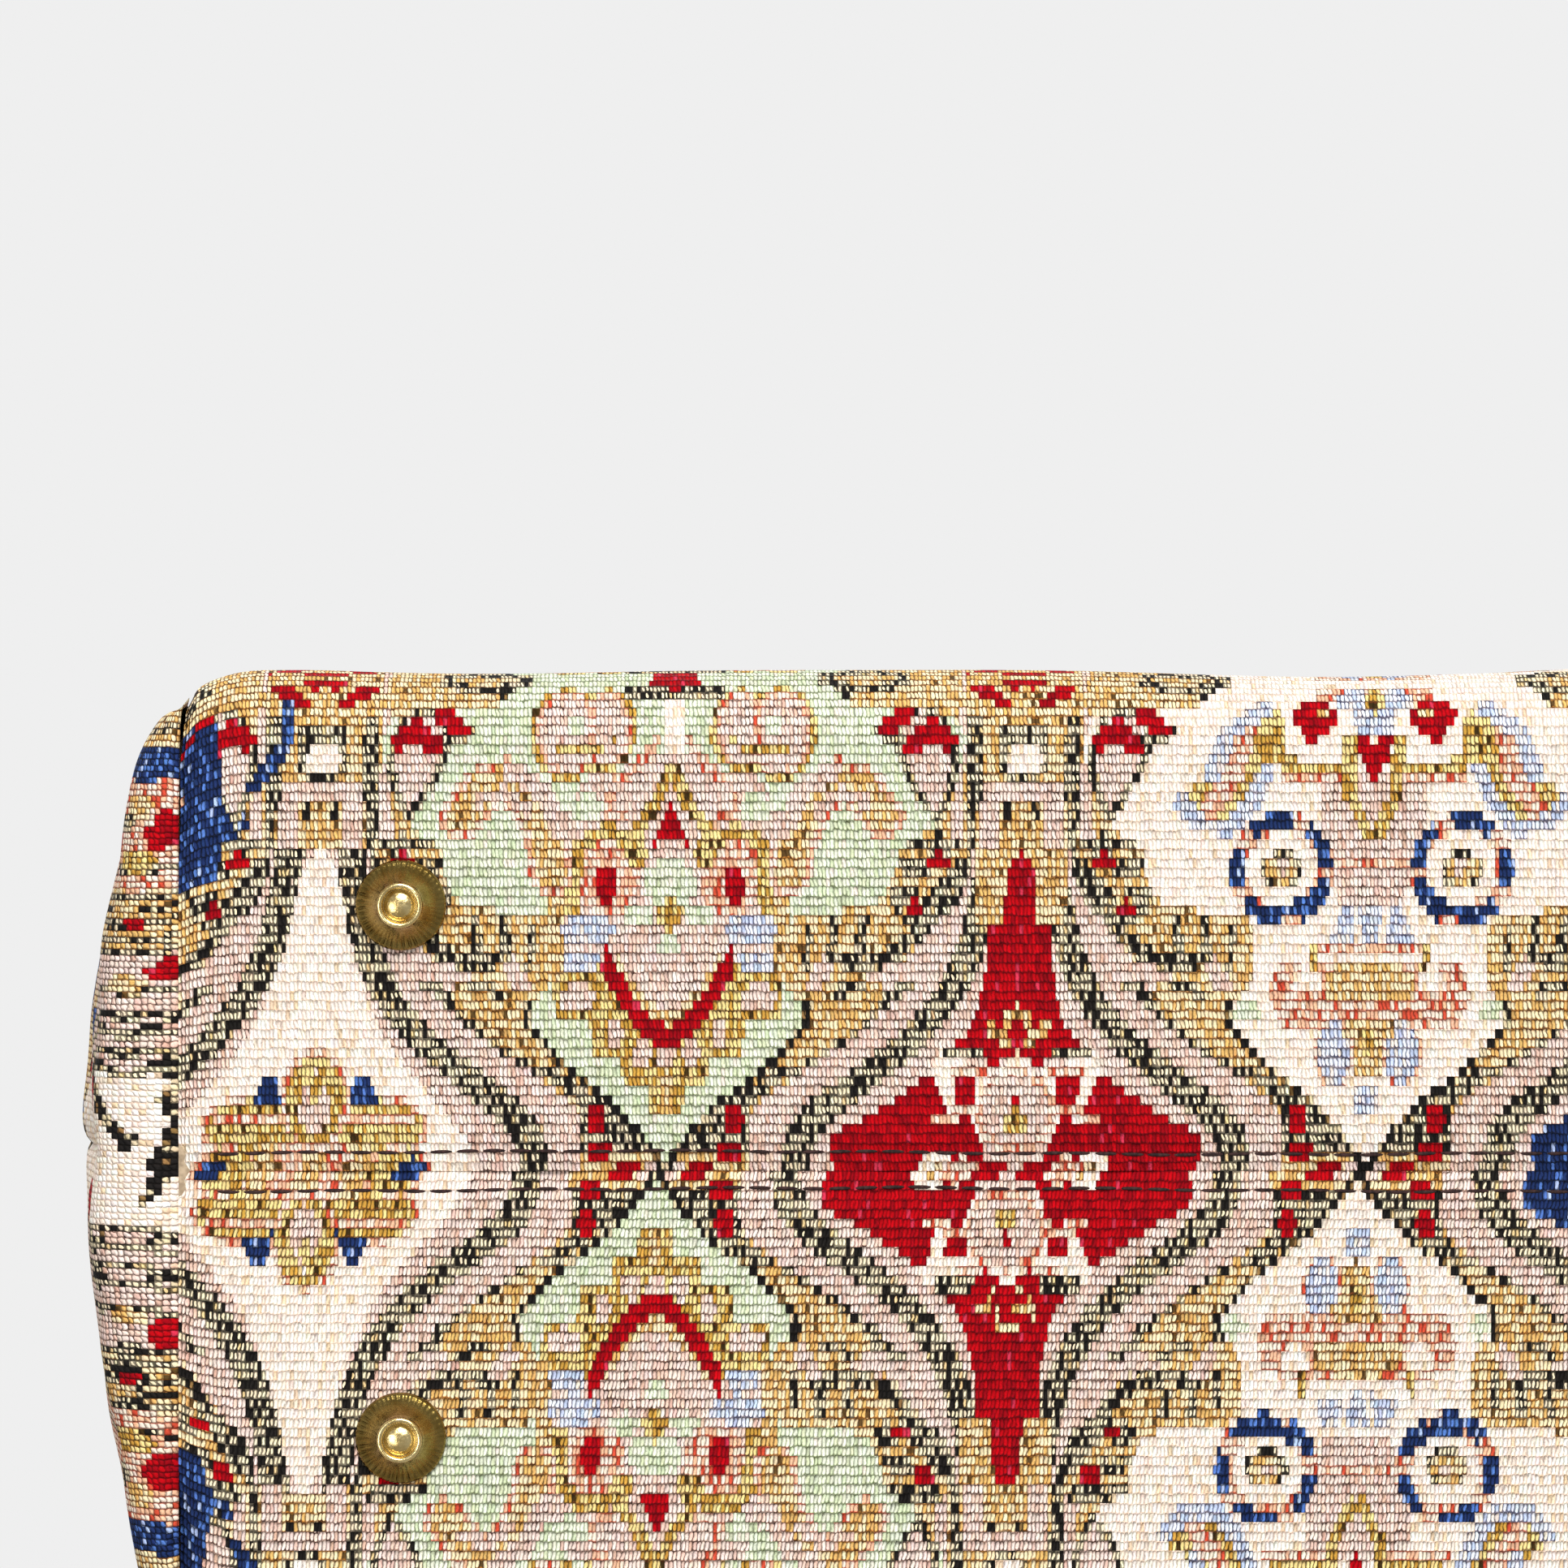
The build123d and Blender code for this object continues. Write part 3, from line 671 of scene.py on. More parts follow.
def woven(s, t):
    """The painted cloth of a piece of carpet, from its place along and across the pattern."""
    cloth = Cloth(s, t)
    paint_bands(cloth)
    paint_rosette(cloth, cloth.narrow == CREAM_AXIS)
    paint_lobed(cloth, cloth.narrow == RED_AXIS, "red")
    paint_lobed(cloth, cloth.narrow == NAVY_AXIS, "navy")
    paint_bowl_palmette(cloth, cloth.wide == GREEN_FIELD, "green")
    paint_cream_palmette(cloth, cloth.wide == CREAM_FIELD)
    paint_bowl_palmette(cloth, cloth.wide == NAVY_FIELD, "navy")
    cloth.paint(cloth.edge_part, "black")
    paint_ferns(cloth)
    paint_necks(cloth)
    cloth.where = cloth.wide == NAVY_FIELD
    cloth.line(cloth.b, [(48.6, 72), (48.6, 66), (46, 62.5), (43.4, 59)], 1.1, "navy")
    cloth.area(cloth.a, [(16, 46), (14.4, 54), (15.4, 59), (16.4, 70), (22, 69), (22, 46)], "navy")
    cloth.where = cloth.all
    return cloth


def dyed(yarn):
    """Colours and depths of the yarn, the gaps and the row thread of each stitch of a grid, with
    the small differences of hand-dyed wool; the gaps carry their dark ground and painted shade."""
    count = yarn.size
    flat = yarn.reshape(-1)

    def column(place, read=float):
        return np.array([read(row[place]) for row in YARNS.values()])[flat]

    main, second, share = column(0, linear), column(1, linear), column(2)
    fleck, fleck_share = column(3, linear), column(4)
    gap_and_painted_shade, gap_and_shade_strength = column(5, linear), column(6)
    thread, thread_depth, full = column(7, linear), column(8), column(9)
    pick = rng.random(count) < share
    colour = np.where(pick[:, None], second, main)
    colour = np.where((rng.random(count) < fleck_share)[:, None], fleck, colour)
    colour = colour * rng.normal(1, 0.09, (count, 1)) * rng.normal(1, 0.02, (count, 3))
    gap_and_shade_strength = gap_and_shade_strength * rng.uniform(0.6, 1, count)
    thread_depth = thread_depth * rng.uniform(0.35, 1, count)
    return {
        "yarn": np.concatenate([np.clip(colour, 0, 1), full[:, None]], axis=1),
        "gap_and_painted_shade": np.concatenate([gap_and_painted_shade, gap_and_shade_strength[:, None]], axis=1),
        "thread": np.concatenate([thread, thread_depth[:, None]], axis=1),
    }


def dye(piece, grids, stitches, rows):
    """Gives each stitch of a woven piece its colours and its place in the weave."""
    mesh = piece.data
    layers = [dyed(yarn) for yarn in grids]
    for name in ("yarn", "gap_and_painted_shade", "thread"):
        values = np.concatenate([layer[name] for layer in layers])
        layer = mesh.attributes.new(name, "FLOAT_COLOR", "FACE")
        layer.data.foreach_set("color", values.astype(np.float32).reshape(-1))
    corners = np.empty(len(mesh.loops), np.int32)
    mesh.loops.foreach_get("vertex_index", corners)
    u = np.concatenate([grid.reshape(-1) for grid in stitches])[corners]
    v = np.concatenate([grid.reshape(-1) for grid in rows])[corners]
    layer = mesh.uv_layers.new(name="weave")
    layer.data.foreach_set("uv", np.stack([u, v], axis=1).astype(np.float32).reshape(-1))


def middles(values):
    """Values at the middles of a grid's cells."""
    return (values[:-1, :-1] + values[1:, :-1] + values[:-1, 1:] + values[1:, 1:]) / 4


def carpet_panel(name, side):
    """A panel from the middle seam over the roll to the rim, with wider stitches above."""
    columns = 2 * round(SEAM_HALF / STITCH)
    low_rows = round((FLAT + ROLL_LENGTH) / ROW)
    wall_rows = round(WALL_LENGTH / ROW)
    low_x, low_t = np.meshgrid(
        np.linspace(-SEAM_HALF, SEAM_HALF, columns + 1),
        np.linspace(0, FLAT + ROLL_LENGTH, low_rows + 1),
    )
    wall_x, wall_t = np.meshgrid(
        np.linspace(-SEAM_HALF, SEAM_HALF, columns // 2 + 1),
        np.linspace(FLAT + ROLL_LENGTH, FLAT + ROLL_LENGTH + WALL_LENGTH, wall_rows + 1),
    )
    verts, faces, grids, stitches, rows = [], [], [], [], []
    start = 0
    for x, t in ((low_x, low_t), (wall_x, wall_t)):
        verts.append(panel_skin(x, t, side).reshape(-1, 3))
        faces += grid_faces(x.shape[0] - 1, x.shape[1] - 1, start, flip=side < 0)
        lay = BACK_SHIFT if side > 0 else -FRONT_SKEW * middles(t)
        stretch = BACK_STRETCH if side > 0 else 1.0
        grids.append(woven(middles(x) + lay, middles(t) * stretch).yarn)
        stitches.append(x / SEAM_HALF * columns / 2)
        above = np.clip(t - FLAT - ROLL_LENGTH, 0, None) / WALL_LENGTH
        rows.append(np.minimum(t / (FLAT + ROLL_LENGTH), 1) * low_rows + above * wall_rows)
        start += x.size
    piece = mesh_piece(name, np.concatenate(verts), faces)
    dye(piece, grids, stitches, rows)
    return piece


def carpet_gusset(name, side):
    """A gusset from its seam on the underside to the rim, with the rows of its weave upright."""
    columns = 2 * round(seam_depth(0) / GUSSET_ROW)
    length = ROLL_LENGTH + WALL_LENGTH
    rows = round(length / GUSSET_STITCH)
    share, t = np.meshgrid(np.linspace(-1, 1, columns + 1), np.linspace(0, length, rows + 1))
    points = moved_out(gusset_points(share, t, side), side * gusset_height(share, t, side))
    piece = mesh_piece(name, points, grid_faces(rows, columns, flip=side < 0))
    y = share * seam_depth(0)
    cloth = woven(FIRST_AXIS - np.abs(middles(y) - CREASE), middles(t) + GUSSET_START)
    paint_foot_of_gusset(cloth, middles(y), middles(t))
    dye(piece, [cloth.yarn], [t / length * rows], [share * columns / 2])
    return piece


# Lining


def ring_points(level, inset):
    """Points once round the bag at a share of its height, moved in by inset."""
    half = half_depth(level)
    x = np.linspace(-STRAIGHT_HALF, STRAIGHT_HALF, LONG_STEPS)
    y = (half - inset) * np.sin(np.linspace(-math.pi / 2, math.pi / 2, END_STEPS + 2)[1:-1])
    end = end_reach(y * half / (half - inset), level)
    end = end - inset * np.clip((end - STRAIGHT_HALF) / CORNER, 0, 1)
    round_x = np.concatenate([x, end, x[::-1], -end])
    edge = np.full(x.shape, half - inset)
    return np.stack([round_x, np.concatenate([-edge, y, edge, y[::-1]])], axis=1)


def soft_lining():
    """The lining: a thin cotton bag that is taut at the rim and slack below, with a loose floor."""
    turns = np.linspace(0, math.pi / 2, 7)[1:]
    walls = np.linspace(1, (LINING_FLOOR + LINING_ROLL) / HEIGHT, 110)
    rows = [(level, LINING_INSET, level * HEIGHT, 1.0) for level in walls]
    for turn in turns:
        inset = LINING_INSET + LINING_ROLL * (1 - math.cos(turn))
        rows.append((0.0, inset, LINING_FLOOR + LINING_ROLL * (1 - math.sin(turn)), 1.0))
    rows += [(0.0, rows[-1][1], LINING_FLOOR, share) for share in np.linspace(0.97, 0.02, 26)]
    grid = []
    for level, inset, rise, share in rows:
        spot = ring_points(level, inset) * share
        spot = np.concatenate([spot, spot[:1]])
        grid.append(np.column_stack([spot, np.full(len(spot), UNDERSIDE + rise)]))
    grid = np.array(grid)
    x, y, z = grid[..., 0], grid[..., 1], grid[..., 2]
    slack = smooth(55, 130, RIM - z) * (0.35 + 0.65 * smooth(0, 30, z - UNDERSIDE - LINING_FLOOR))
    folds = waves(x + 1.7 * y, 0.3 * z, 61, 9, 26, 70) + 0.7 * waves(x - y, z, 63, 7, 45, 120)
    grid = moved_out(grid, 1.3 * slack * np.clip(folds + 1, 0, None))
    return mesh_piece("soft_lining", grid, grid_faces(grid.shape[0] - 1, grid.shape[1] - 1))


# Materials


class Nodes:
    """Small helper that adds and links nodes of one material."""

    def __init__(self, name):
        self.material = bpy.data.materials.new(name)
        self.material.use_nodes = True
        self.tree = self.material.node_tree
        self.shader = self.tree.nodes["Principled BSDF"]

    def add(self, kind, **settings):
        node = self.tree.nodes.new(kind)
        for key, value in settings.items():
            setattr(node, key, value)
        return node

    def put(self, socket, value):
        if isinstance(value, bpy.types.NodeSocket):
            self.tree.links.new(value, socket)
        else:
            socket.default_value = value

    def maths(self, operation, first, second=0.0, third=0.0):
        node = self.add("ShaderNodeMath", operation=operation)
        for socket, value in zip(node.inputs, (first, second, third)):
            self.put(socket, value)
        return node.outputs[0]

    def mix(self, factor, first, second, blend="MIX"):
        node = self.add("ShaderNodeMix", data_type="RGBA", blend_type=blend)
        self.put(node.inputs[0], factor)
        self.put(node.inputs[6], first)
        self.put(node.inputs[7], second)
        return node.outputs[2]

    def noise(self, vector, scale, detail=2.0):
        node = self.add("ShaderNodeTexNoise")
        self.put(node.inputs["Vector"], vector)
        self.put(node.inputs["Scale"], scale)
        self.put(node.inputs["Detail"], detail)
        return node.outputs["Fac"]

    def ramp(self, value, low, high, start=0.0, end=1.0):
        node = self.add("ShaderNodeMapRange", interpolation_type="SMOOTHSTEP")
        for socket, number in zip(node.inputs, (value, low, high, start, end)):
            self.put(socket, number)
        return node.outputs[0]

    def bump(self, height, distance, strength=1.0, normal=None):
        node = self.add("ShaderNodeBump")
        self.put(node.inputs["Height"], height)
        node.inputs["Distance"].default_value = distance
        node.inputs["Strength"].default_value = strength
        if normal is not None:
            self.put(node.inputs["Normal"], normal)
        return node.outputs[0]

    def place(self):
        return self.add("ShaderNodeTexCoord").outputs["Object"]

    def finish(self, colour, roughness, normal=None, specular=0.5, metallic=0.0):
        self.put(self.shader.inputs["Base Color"], colour)
        self.put(self.shader.inputs["Roughness"], roughness)
        self.shader.inputs["Specular IOR Level"].default_value = specular
        self.shader.inputs["Metallic"].default_value = metallic
        if normal is not None:
            self.put(self.shader.inputs["Normal"], normal)
        return self.material


def colour(code):
    """Colour socket value of a six-digit code."""
    return (*linear(code), 1.0)


def carpet_material():
    """Woven wool: plump upright stitches in rows, dark gaps between them, their dark ground with
    painted shade in the hollows, and threads along the rows, in the colours that each stitch
    carries."""
    n = Nodes("woven_carpet")
    weave = n.add("ShaderNodeUVMap", uv_map="weave").outputs[0]
    where = n.place()
    split = n.add("ShaderNodeSeparateXYZ")
    n.put(split.inputs[0], weave)
    layers = {}
    for name in ("yarn", "gap_and_painted_shade", "thread"):
        layer = n.add("ShaderNodeAttribute", attribute_name=name)
        layers[name] = (layer.outputs["Color"], layer.outputs["Alpha"])
    wander = n.noise(where, 900, 1)
    u = n.maths("ADD", split.outputs[0], n.maths("MULTIPLY_ADD", wander, 0.9, -0.45))
    v = n.maths("ADD", split.outputs[1], n.maths("MULTIPLY_ADD", n.noise(where, 700, 1), 0.6, -0.3))
    upright = n.maths("SUBTRACT", n.maths("FRACT", v), 0.5)
    lean = n.maths("ADD", u, n.maths("MULTIPLY", upright, 0.3))
    sideways = n.maths("SUBTRACT", n.maths("FRACT", lean), 0.5)
    off_u = n.maths("MULTIPLY", n.maths("ABSOLUTE", sideways), 2.0)
    off_v = n.maths("MULTIPLY", n.maths("ABSOLUTE", upright), 2.0)
    reach = n.maths("ADD", n.maths("POWER", off_u, 2.2), n.maths("POWER", off_v, 3.2))
    fibre = n.noise(where, 5200, 2)
    crowd = n.maths("DIVIDE", reach, layers["yarn"][1])
    # painted shade: the colour of the gaps darkens the hollows between the stitches, over their
    # dark ground
    gap_and_painted_shade = n.maths("MULTIPLY", n.ramp(crowd, 0.55, 1.15), layers["gap_and_painted_shade"][1])
    row = n.maths("MULTIPLY", n.ramp(off_v, 0.55, 0.92), layers["thread"][1])
    shade = n.ramp(fibre, 0.25, 0.75, 0.82, 1.06)
    wool = n.mix(1.0, layers["yarn"][0], shade, "MULTIPLY")
    wool = n.mix(row, wool, layers["thread"][0])
    wool = n.mix(gap_and_painted_shade, wool, layers["gap_and_painted_shade"][0])
    plump = n.maths("SUBTRACT", 1.0, n.maths("MINIMUM", reach, 1.3))
    height = n.maths("ADD", plump, n.maths("MULTIPLY", fibre, 0.25))
    normal = n.bump(height, 0.0004, 0.8)
    return n.finish(wool, 0.92, normal, specular=0.12)


def brass_material(name, tone, dark, flutes=False):
    """Old brass or bronze with darker stains; a fluted piece also takes its colour from its points,
    with darker streaks round it that are painted shade in the troughs of its flutes.
    """
    n = Nodes(name)
    where = n.place()
    stain = n.ramp(n.noise(where, 420, 4), 0.35, 0.7)
    grain = n.noise(where, 2600, 3)
    shown = n.mix(stain, colour(tone), colour(dark))
    if flutes:
        # the foot's two tones, with painted shade in the troughs of its flutes
        tone_and_flute_shade = n.add("ShaderNodeAttribute", attribute_name="tone_and_painted_flute_shade").outputs["Color"]
        shown = n.mix(1.0, shown, tone_and_flute_shade, "MULTIPLY")
    rough = n.ramp(grain, 0.3, 0.7, 0.16, 0.3) if flutes else n.ramp(grain, 0.3, 0.7, 0.3, 0.45)
    normal = n.bump(grain, 0.00008, 0.5)
    return n.finish(shown, rough, normal, metallic=1.0)


def leather_material():
    """Brown bridle leather with a fine pebble and darker clouds."""
    n = Nodes("brown_leather")
    where = n.place()
    pebble = n.add("ShaderNodeTexVoronoi", feature="SMOOTH_F1")
    n.put(pebble.inputs["Vector"], where)
    pebble.inputs["Scale"].default_value = 900
    cloud = n.noise(where, 34, 4)
    shown = n.mix(n.ramp(cloud, 0.3, 0.72), colour("4A2A1A"), colour("6B4028"))
    shown = n.mix(n.ramp(n.noise(where, 260, 5), 0.55, 0.8, 0.0, 0.5), shown, colour("2E1A10"))
    grain = n.maths("MULTIPLY", pebble.outputs["Distance"], 0.7)
    height = n.maths("ADD", grain, n.noise(where, 1500, 2))
    normal = n.bump(height, 0.00025, 0.5)
    return n.finish(shown, n.ramp(cloud, 0.3, 0.7, 0.42, 0.58), normal, specular=0.4)


def lining_material():
    """Plain brown cotton twill."""
    n = Nodes("lining_twill")
    where = n.place()
    rib = n.add("ShaderNodeTexWave", bands_direction="DIAGONAL")
    n.put(rib.inputs["Vector"], where)
    rib.inputs["Scale"].default_value = 420
    cloud = n.noise(where, 40, 3)
    shown = n.mix(n.ramp(cloud, 0.3, 0.7), colour("8A745C"), colour("A08A6E"))
    shown = n.mix(n.maths("MULTIPLY", rib.outputs["Fac"], 0.3), shown, colour("6B573F"))
    normal = n.bump(rib.outputs["Fac"], 0.0002, 0.5)
    return n.finish(shown, 0.9, normal, specular=0.2)


def board_material():
    """Grey-brown pasteboard."""
    n = Nodes("pasteboard")
    where = n.place()
    fleck = n.noise(where, 900, 4)
    shown = n.mix(n.ramp(fleck, 0.35, 0.7), colour("8C7A64"), colour("B09C82"))
    return n.finish(shown, 0.95, n.bump(fleck, 0.0002, 0.4), specular=0.2)


def thread_material(name, tone, dark):
    """Twisted sewing thread."""
    n = Nodes(name)
    where = n.place()
    twist = n.noise(where, 1800, 2)
    shown = n.mix(n.ramp(twist, 0.3, 0.7), colour(tone), colour(dark))
    return n.finish(shown, 0.85, n.bump(twist, 0.0002, 0.6), specular=0.2)


# Feet


def foot_profile(reach):
    """Radii and heights of a foot from its rim on the carpet to the top of its dome."""
    boss = reach * 0.5
    bead = 0.42
    outer = reach * 0.965
    points = [(reach * 0.985, UNDERSIDE - 0.05), (reach, UNDERSIDE - 0.5)]
    points.append((outer, UNDERSIDE - 0.95))
    for share in np.linspace(0.08, 1, 12):
        drop = 0.95 + (UNDERSIDE - 2.2) * (0.45 * share + 0.55 * share**2.4)
        points.append((outer + (boss + 0.1 - outer) * share, UNDERSIDE - drop))
    for turn in np.radians(np.linspace(-30, 200, 12)):
        points.append((boss - bead + bead * math.cos(turn), bead - bead * math.sin(turn)))
    edge = boss - 2 * bead - 0.12
    points += [(edge + 0.08, 1.5), (edge - 0.1, 1.55)]
    for turn in np.linspace(0.08, 1, 12) * math.pi / 2:
        points.append(((edge - 0.1) * math.cos(turn), 1.5 - 1.15 * math.sin(turn)))
    return points, boss, outer


def foot_piece(node):
    """A turned brass foot: a skirt with fine uneven flutes, a rolled ring and a dome."""
    low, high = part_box(node)
    middle = (low + high) / 2 / MM
    reach = (high.x - low.x) / 2 / MM
    points, boss, outer = foot_profile(reach)
    around = FOOT_STEPS
    source = np.random.default_rng(len(node) + ord(node[0]))
    turn = np.arange(around) / around * math.tau
    uneven = FLUTES * turn + 1.6 * np.sin(3 * turn)
    flutes = np.sin(uneven + 1.1 * np.sin(7 * turn + source.uniform(0, 6)))
    plain = 0.5 + 0.5 * np.cos(turn + 0.9)
    flutes = flutes * (1 - 0.75 * plain**2) * source.uniform(0.6, 1.2, around)
    skirt = np.array([0.44, 0.38, 0.21])
    bright = np.array([1.0, 0.97, 0.88])
    verts, ring_tones_and_painted_shade = [], []
    for radius, height in points[:-1]:
        depth = smooth(boss * 1.1, outer * 0.92, radius) * (1 - smooth(outer, reach, radius))
        swing = depth * flutes
        wide = radius + 0.06 * swing
        x, y = middle.x + wide * np.cos(turn), middle.y + wide * np.sin(turn)
        verts.append(np.stack([x, y, height - 0.3 * swing], axis=1))
        base = bright + (skirt - bright) * smooth(boss * 0.99, boss * 1.06, radius)
        # painted shade: darker in the troughs of the flutes
        dark = 1 - 0.4 * depth * np.clip(0.5 - 0.5 * flutes, 0, 1)
        ring_tones_and_painted_shade.append(base[None, :] * dark[:, None])
    rings = len(verts)
    verts = np.concatenate(verts + [np.array([[middle.x, middle.y, points[-1][1]]])])
    faces = []
    for at in range(rings - 1):
        for i in range(around):
            j = (i + 1) % around
            near, far = at * around, (at + 1) * around
            faces.append((near + i, far + i, far + j, near + j))
    last = (rings - 1) * around
    faces += [(last + i, rings * around, last + (i + 1) % around) for i in range(around)]
    piece = mesh_piece(f"brass_{node}", verts, faces)
    point_tones_and_painted_shade = np.concatenate(ring_tones_and_painted_shade + [bright[None, :]])
    layer = piece.data.attributes.new("tone_and_painted_flute_shade", "FLOAT_COLOR", "POINT")
    values = np.concatenate([point_tones_and_painted_shade, np.ones((len(point_tones_and_painted_shade), 1))], axis=1)
    layer.data.foreach_set("color", values.astype(np.float32).reshape(-1))
    return piece


# Stitching


def capsules(name, runs, width, lift):
    """Plump stitches of some runs, arched outward and sunk at both ends."""
    starts, ends, outs = (np.concatenate(part) for part in zip(*runs))
    rings, around = 7, 8
    verts, faces = [], []
    for start, end, out in zip(starts, ends, outs):
        along = end - start
        side = np.cross(out, along / np.linalg.norm(along))
        base = len(verts)
        for k in range(rings):
            share = k / (rings - 1)
            arch = math.sin(math.pi * share)
            centre = start + along * share + out * (lift * (2 * arch**0.7 - 1))
            thick = width / 2 * (0.45 + 0.55 * arch**0.5)
            for i in range(around):
                turn = math.tau * i / around
                verts.append(centre + thick * (side * math.cos(turn) + out * math.sin(turn) * 0.8))
        for k in range(rings - 1):
            for i in range(around):
                j = (i + 1) % around
                row = base + k * around
                faces.append((row + i, row + j, row + around + j, row + around + i))
    return mesh_piece(name, verts, faces)


def stitched(path, outs, pitch, length):
    """Starts, ends and outward directions of the stitches along a path."""
    run = np.concatenate([[0], np.cumsum(np.linalg.norm(np.diff(path, axis=0), axis=1))])
    first = np.arange(pitch / 2, run[-1] - length, pitch)

    def at(where, values):
        return np.stack([np.interp(where, run, values[:, k]) for k in range(3)], axis=1)

    out = at(first + length / 2, outs)
    out /= np.linalg.norm(out, axis=1, keepdims=True)
    return at(first, path), at(first + length, path), out


def seam_stitches():
    """The two rows of topstitching beside the middle seam."""
    runs = []
    for side in (-1, 1):
        along = np.arange(-SEAM_HALF + 4, SEAM_HALF - 4, 0.5)
        x, shift = np.meshgrid(along, np.array([-0.3, 0, 0.3]))
        t = SEAM_ROW + 0.3 * np.sin(x / 31 + side) + 0.12 * np.sin(x / 4.7 + side) + shift
        points = panel_skin(x, t, side)[1]
        runs.append(stitched(points, np.tile([0.0, 0.0, -1.0], (len(points), 1)), *SEAM_SEWING))
    return capsules("seam_stitching", runs, *SEAM_THREAD)


def binding_stitches():
    """The rows of saddle stitches near the lower edge of the binding, outside and inside."""
    rise = HEIGHT - BINDING + BINDING_SEAM
    runs = []
    for inset, sign in ((-LEATHER, 1), (LINING_FACE + LEATHER, -1)):
        spot = ring_points(rise / HEIGHT, inset)
        spot = np.concatenate([spot, spot[:1]])
        along = np.gradient(spot, axis=0)
        outs = np.column_stack([along[:, 1], -along[:, 0], np.zeros(len(spot))]) * sign
        path = np.column_stack([spot, np.full(len(spot), UNDERSIDE + rise)])
        runs.append(stitched(path, outs, *BINDING_SEWING))
    return capsules("binding_stitching", runs, *SADDLE_THREAD)


def patch_stitches():
    """The stitches round the sides and lower end of each patch."""
    runs = []
    turn = np.linspace(0, math.pi / 2, 12)
    for node in PATCHES:
        low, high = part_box(node)
        left, right, bottom, top = low.x / MM, high.x / MM, low.z / MM, high.z / MM
        bend = PATCH_CORNER - PATCH_SEAM
        side = 1 if low.y > 0 else -1
        heights = np.linspace(top - PATCH_CORNER, bottom + PATCH_CORNER, 20)
        corner_x = left + PATCH_CORNER - bend * np.cos(turn)
        corner_z = bottom + PATCH_CORNER - bend * np.sin(turn)
        x = np.concatenate([np.full(20, left + PATCH_SEAM), corner_x])
        z = np.concatenate([heights, corner_z])
        x = np.concatenate([x, (left + right - x)[::-1]])
        z = np.concatenate([z, z[::-1]])
        y = side * (half_depth((z - UNDERSIDE) / HEIGHT) + LEATHER)
        outs = np.tile([0.0, side, 0.0], (len(x), 1))
        runs.append(stitched(np.column_stack([x, y, z]), outs, *PATCH_SEWING))
    return capsules("patch_stitching", runs, *SADDLE_THREAD)


# Stage, light and camera


def world_light():
    """A pale surrounding for the camera and a softer one for light."""
    world = bpy.data.worlds.new("pale_room")
    bpy.context.scene.world = world
    world.use_nodes = True
    tree = world.node_tree
    tree.nodes.clear()
    path = tree.nodes.new("ShaderNodeLightPath")
    seen = tree.nodes.new("ShaderNodeBackground")
    seen.inputs["Color"].default_value = colour(BACKDROP)
    fill = tree.nodes.new("ShaderNodeBackground")
    fill.inputs["Color"].default_value = WORLD_TINT
    fill.inputs["Strength"].default_value = WORLD_FILL
    blend = tree.nodes.new("ShaderNodeMixShader")
    out = tree.nodes.new("ShaderNodeOutputWorld")
    most = tree.nodes.new("ShaderNodeMath")
    most.operation = "MAXIMUM"
    tree.links.new(path.outputs["Is Camera Ray"], most.inputs[0])
    tree.links.new(path.outputs["Is Transmission Ray"], most.inputs[1])
    tree.links.new(most.outputs[0], blend.inputs[0])
    tree.links.new(fill.outputs[0], blend.inputs[1])
    tree.links.new(seen.outputs[0], blend.inputs[2])
    tree.links.new(blend.outputs[0], out.inputs[0])


def floor_piece():
    """A pale floor at the bag's feet that is clear when it is looked through from below."""
    half = FLOOR_HALF
    corners = [(-half, -half, 0), (half, -half, 0), (half, half, 0), (-half, half, 0)]
    floor = mesh_piece("floor", corners, [(0, 1, 2, 3)])
    n = Nodes("pale_floor")
    n.finish(n.mix(n.noise(n.place(), 6, 2), colour("E9E9E8"), colour("F1F1F0")), 0.9, specular=0.1)
    under = n.add("ShaderNodeNewGeometry").outputs["Backfacing"]
    clear = n.add("ShaderNodeBsdfTransparent")
    blend = n.add("ShaderNodeMixShader")
    n.put(blend.inputs[0], under)
    n.put(blend.inputs[1], n.shader.outputs[0])
    n.put(blend.inputs[2], clear.outputs[0])
    n.put(n.tree.nodes["Material Output"].inputs["Surface"], blend.outputs[0])
    floor.data.materials.append(n.material)
    floor.visible_shadow = False
    floor.visible_diffuse = False
    floor.visible_glossy = False
    floor.visible_transmission = False


def area_lamp(name, place, target, size, power):
    """A square soft lamp that looks at a point."""
    lamp = bpy.data.lights.new(name, "AREA")
    lamp.shape = "SQUARE"
    lamp.size = size
    lamp.energy = power
    thing = bpy.data.objects.new(name, lamp)
    thing.location = place
    thing.rotation_euler = (Vector(target) - Vector(place)).to_track_quat("-Z", "Y").to_euler()
    bpy.context.scene.collection.objects.link(thing)


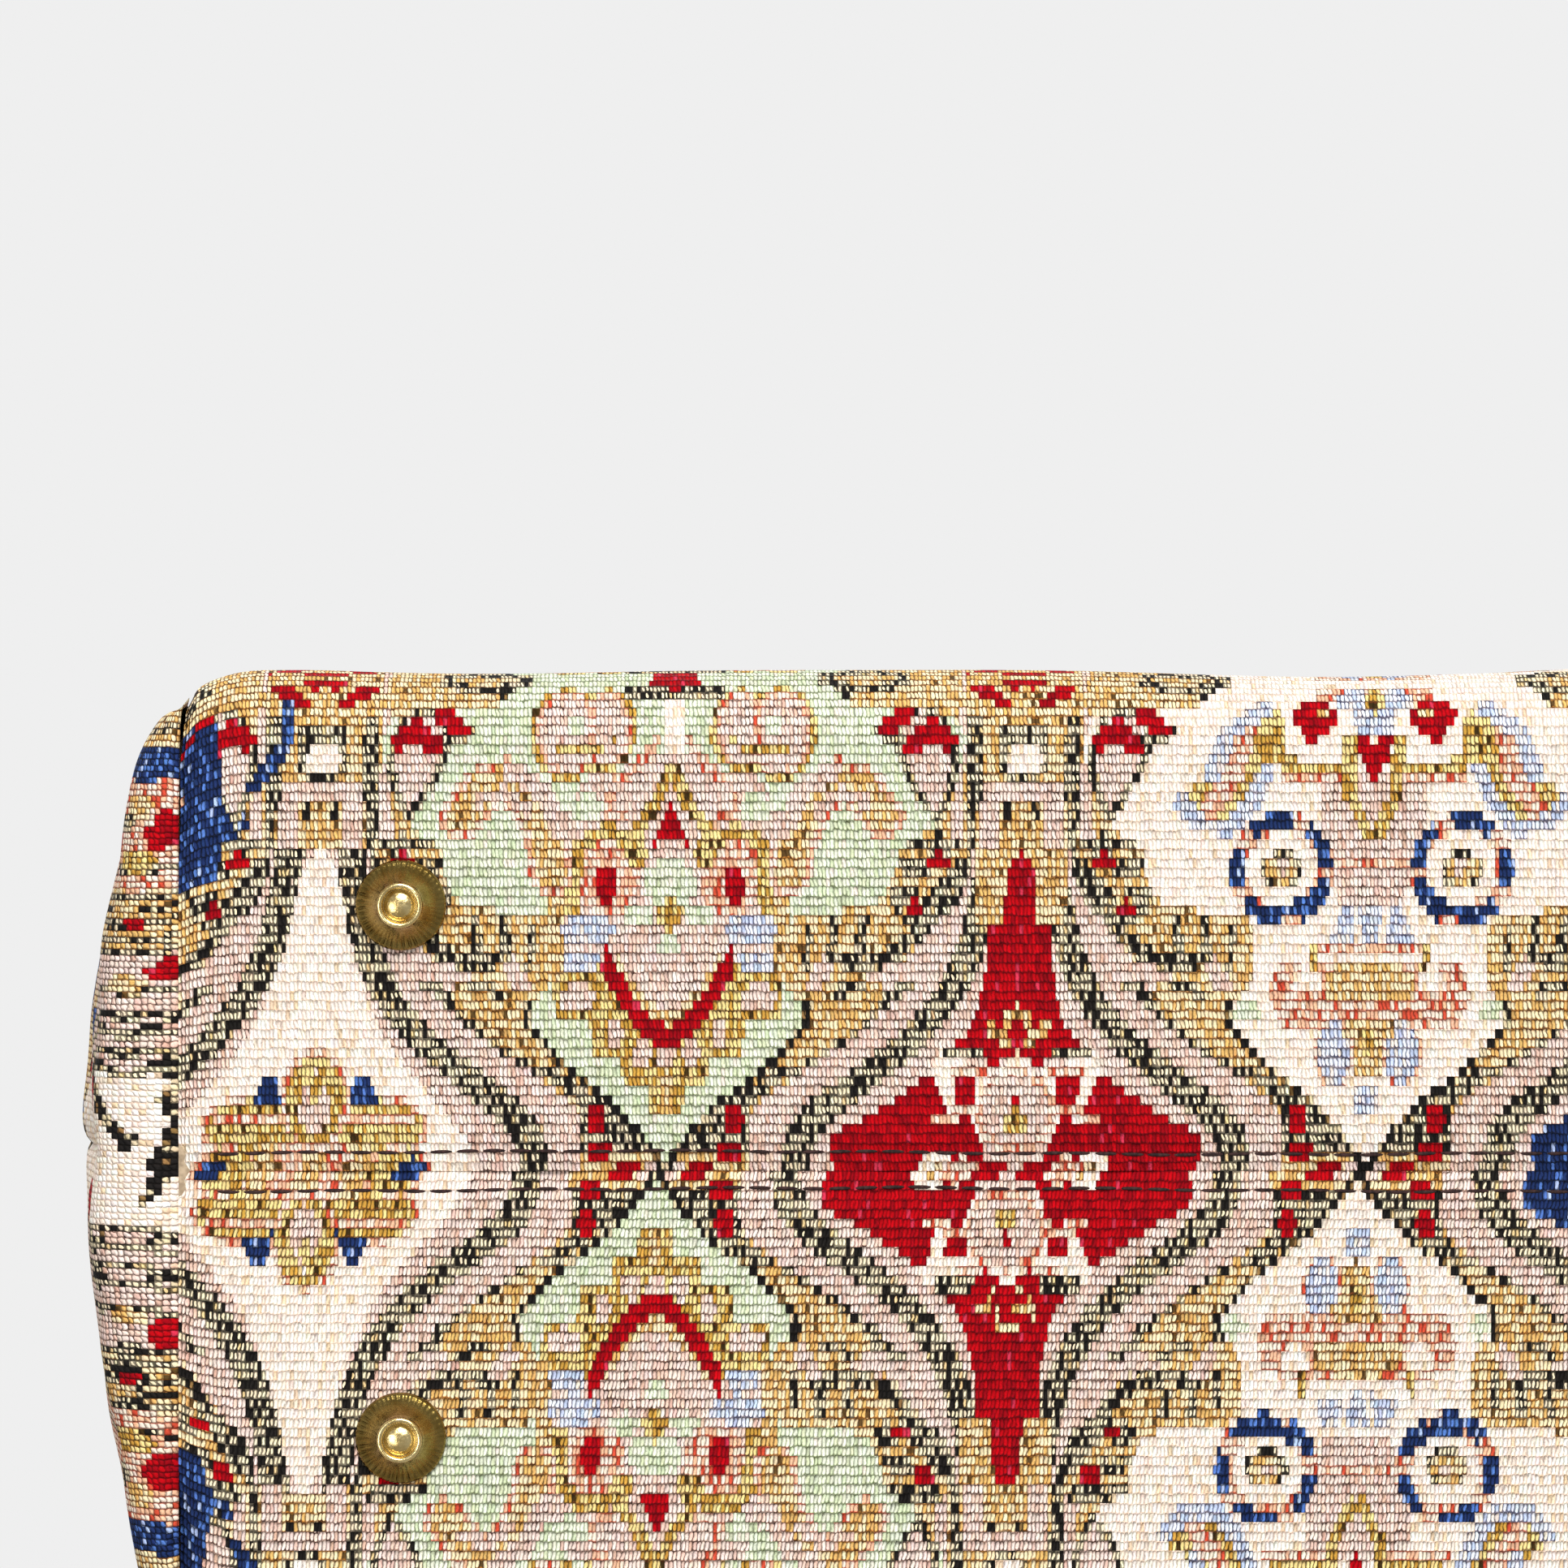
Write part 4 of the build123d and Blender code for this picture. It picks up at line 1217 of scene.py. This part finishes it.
def camera_below():
    """The camera under the bag, straight on to its underside, with the bag's front at the top."""
    data = bpy.data.cameras.new("camera")
    data.sensor_width = SENSOR
    data.lens = SENSOR * VIEW_DISTANCE / VIEW_WIDTH
    camera = bpy.data.objects.new("camera", data)
    camera.location = (VIEW_X * MM, VIEW_Y * MM, (UNDERSIDE - VIEW_DISTANCE) * MM)
    camera.rotation_euler = (math.pi, 0, 0)
    bpy.context.scene.collection.objects.link(camera)
    bpy.context.scene.camera = camera


def wear(piece, material):
    """Gives a piece its one material."""
    piece.data.materials.clear()
    piece.data.materials.append(material)


def dress(piece, material, node=None):
    """Puts a piece on the body, in the place of a node if it stands for one."""
    wear(piece, material)
    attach(piece, "root")
    if node:
        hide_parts(node)


def main():
    carpet = carpet_material()
    leather = leather_material()
    bronze = brass_material("old_bronze", "E6D3A0", "C8AE74", flutes=True)
    brass = brass_material("old_brass", "C2A15C", "8C6A34")
    for node, side in (("front_panel", -1), ("back_panel", 1)):
        piece = carpet_panel(f"woven_{node}", side)
        dress(piece, carpet, node)
    for node, side in (("left_gusset", -1), ("right_gusset", 1)):
        piece = carpet_gusset(f"woven_{node}", side)
        dress(piece, carpet, node)
    for node in ("front_left_foot", "front_right_foot", "back_left_foot", "back_right_foot"):
        dress(foot_piece(node), bronze, node)
    lining = soft_lining()
    dress(lining, lining_material(), "lining")
    tan_thread = thread_material("saddle_thread", "C9A77A", "9A7A50")
    for stitches, thread, slot in (
        (seam_stitches(), thread_material("seam_thread", "3A2624", "1E1414"), "carpet"),
        (binding_stitches(), tan_thread, "leather"),
        (patch_stitches(), tan_thread, "leather"),
    ):
        dress(stitches, thread)
    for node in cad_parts:
        if node in ("rim_binding", "front_handle", "back_handle") or node.endswith("patch"):
            wear(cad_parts[node], leather)
    wear(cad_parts["base_board"], board_material())
    for node in ("handle_rivets", "foot_washers"):
        wear(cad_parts[node], brass)
    world_light()
    floor_piece()
    for name, setting in LAMPS.items():
        area_lamp(name, *setting)
    camera_below()
    bpy.context.scene.view_settings.view_transform = "Standard"
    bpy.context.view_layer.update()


main()
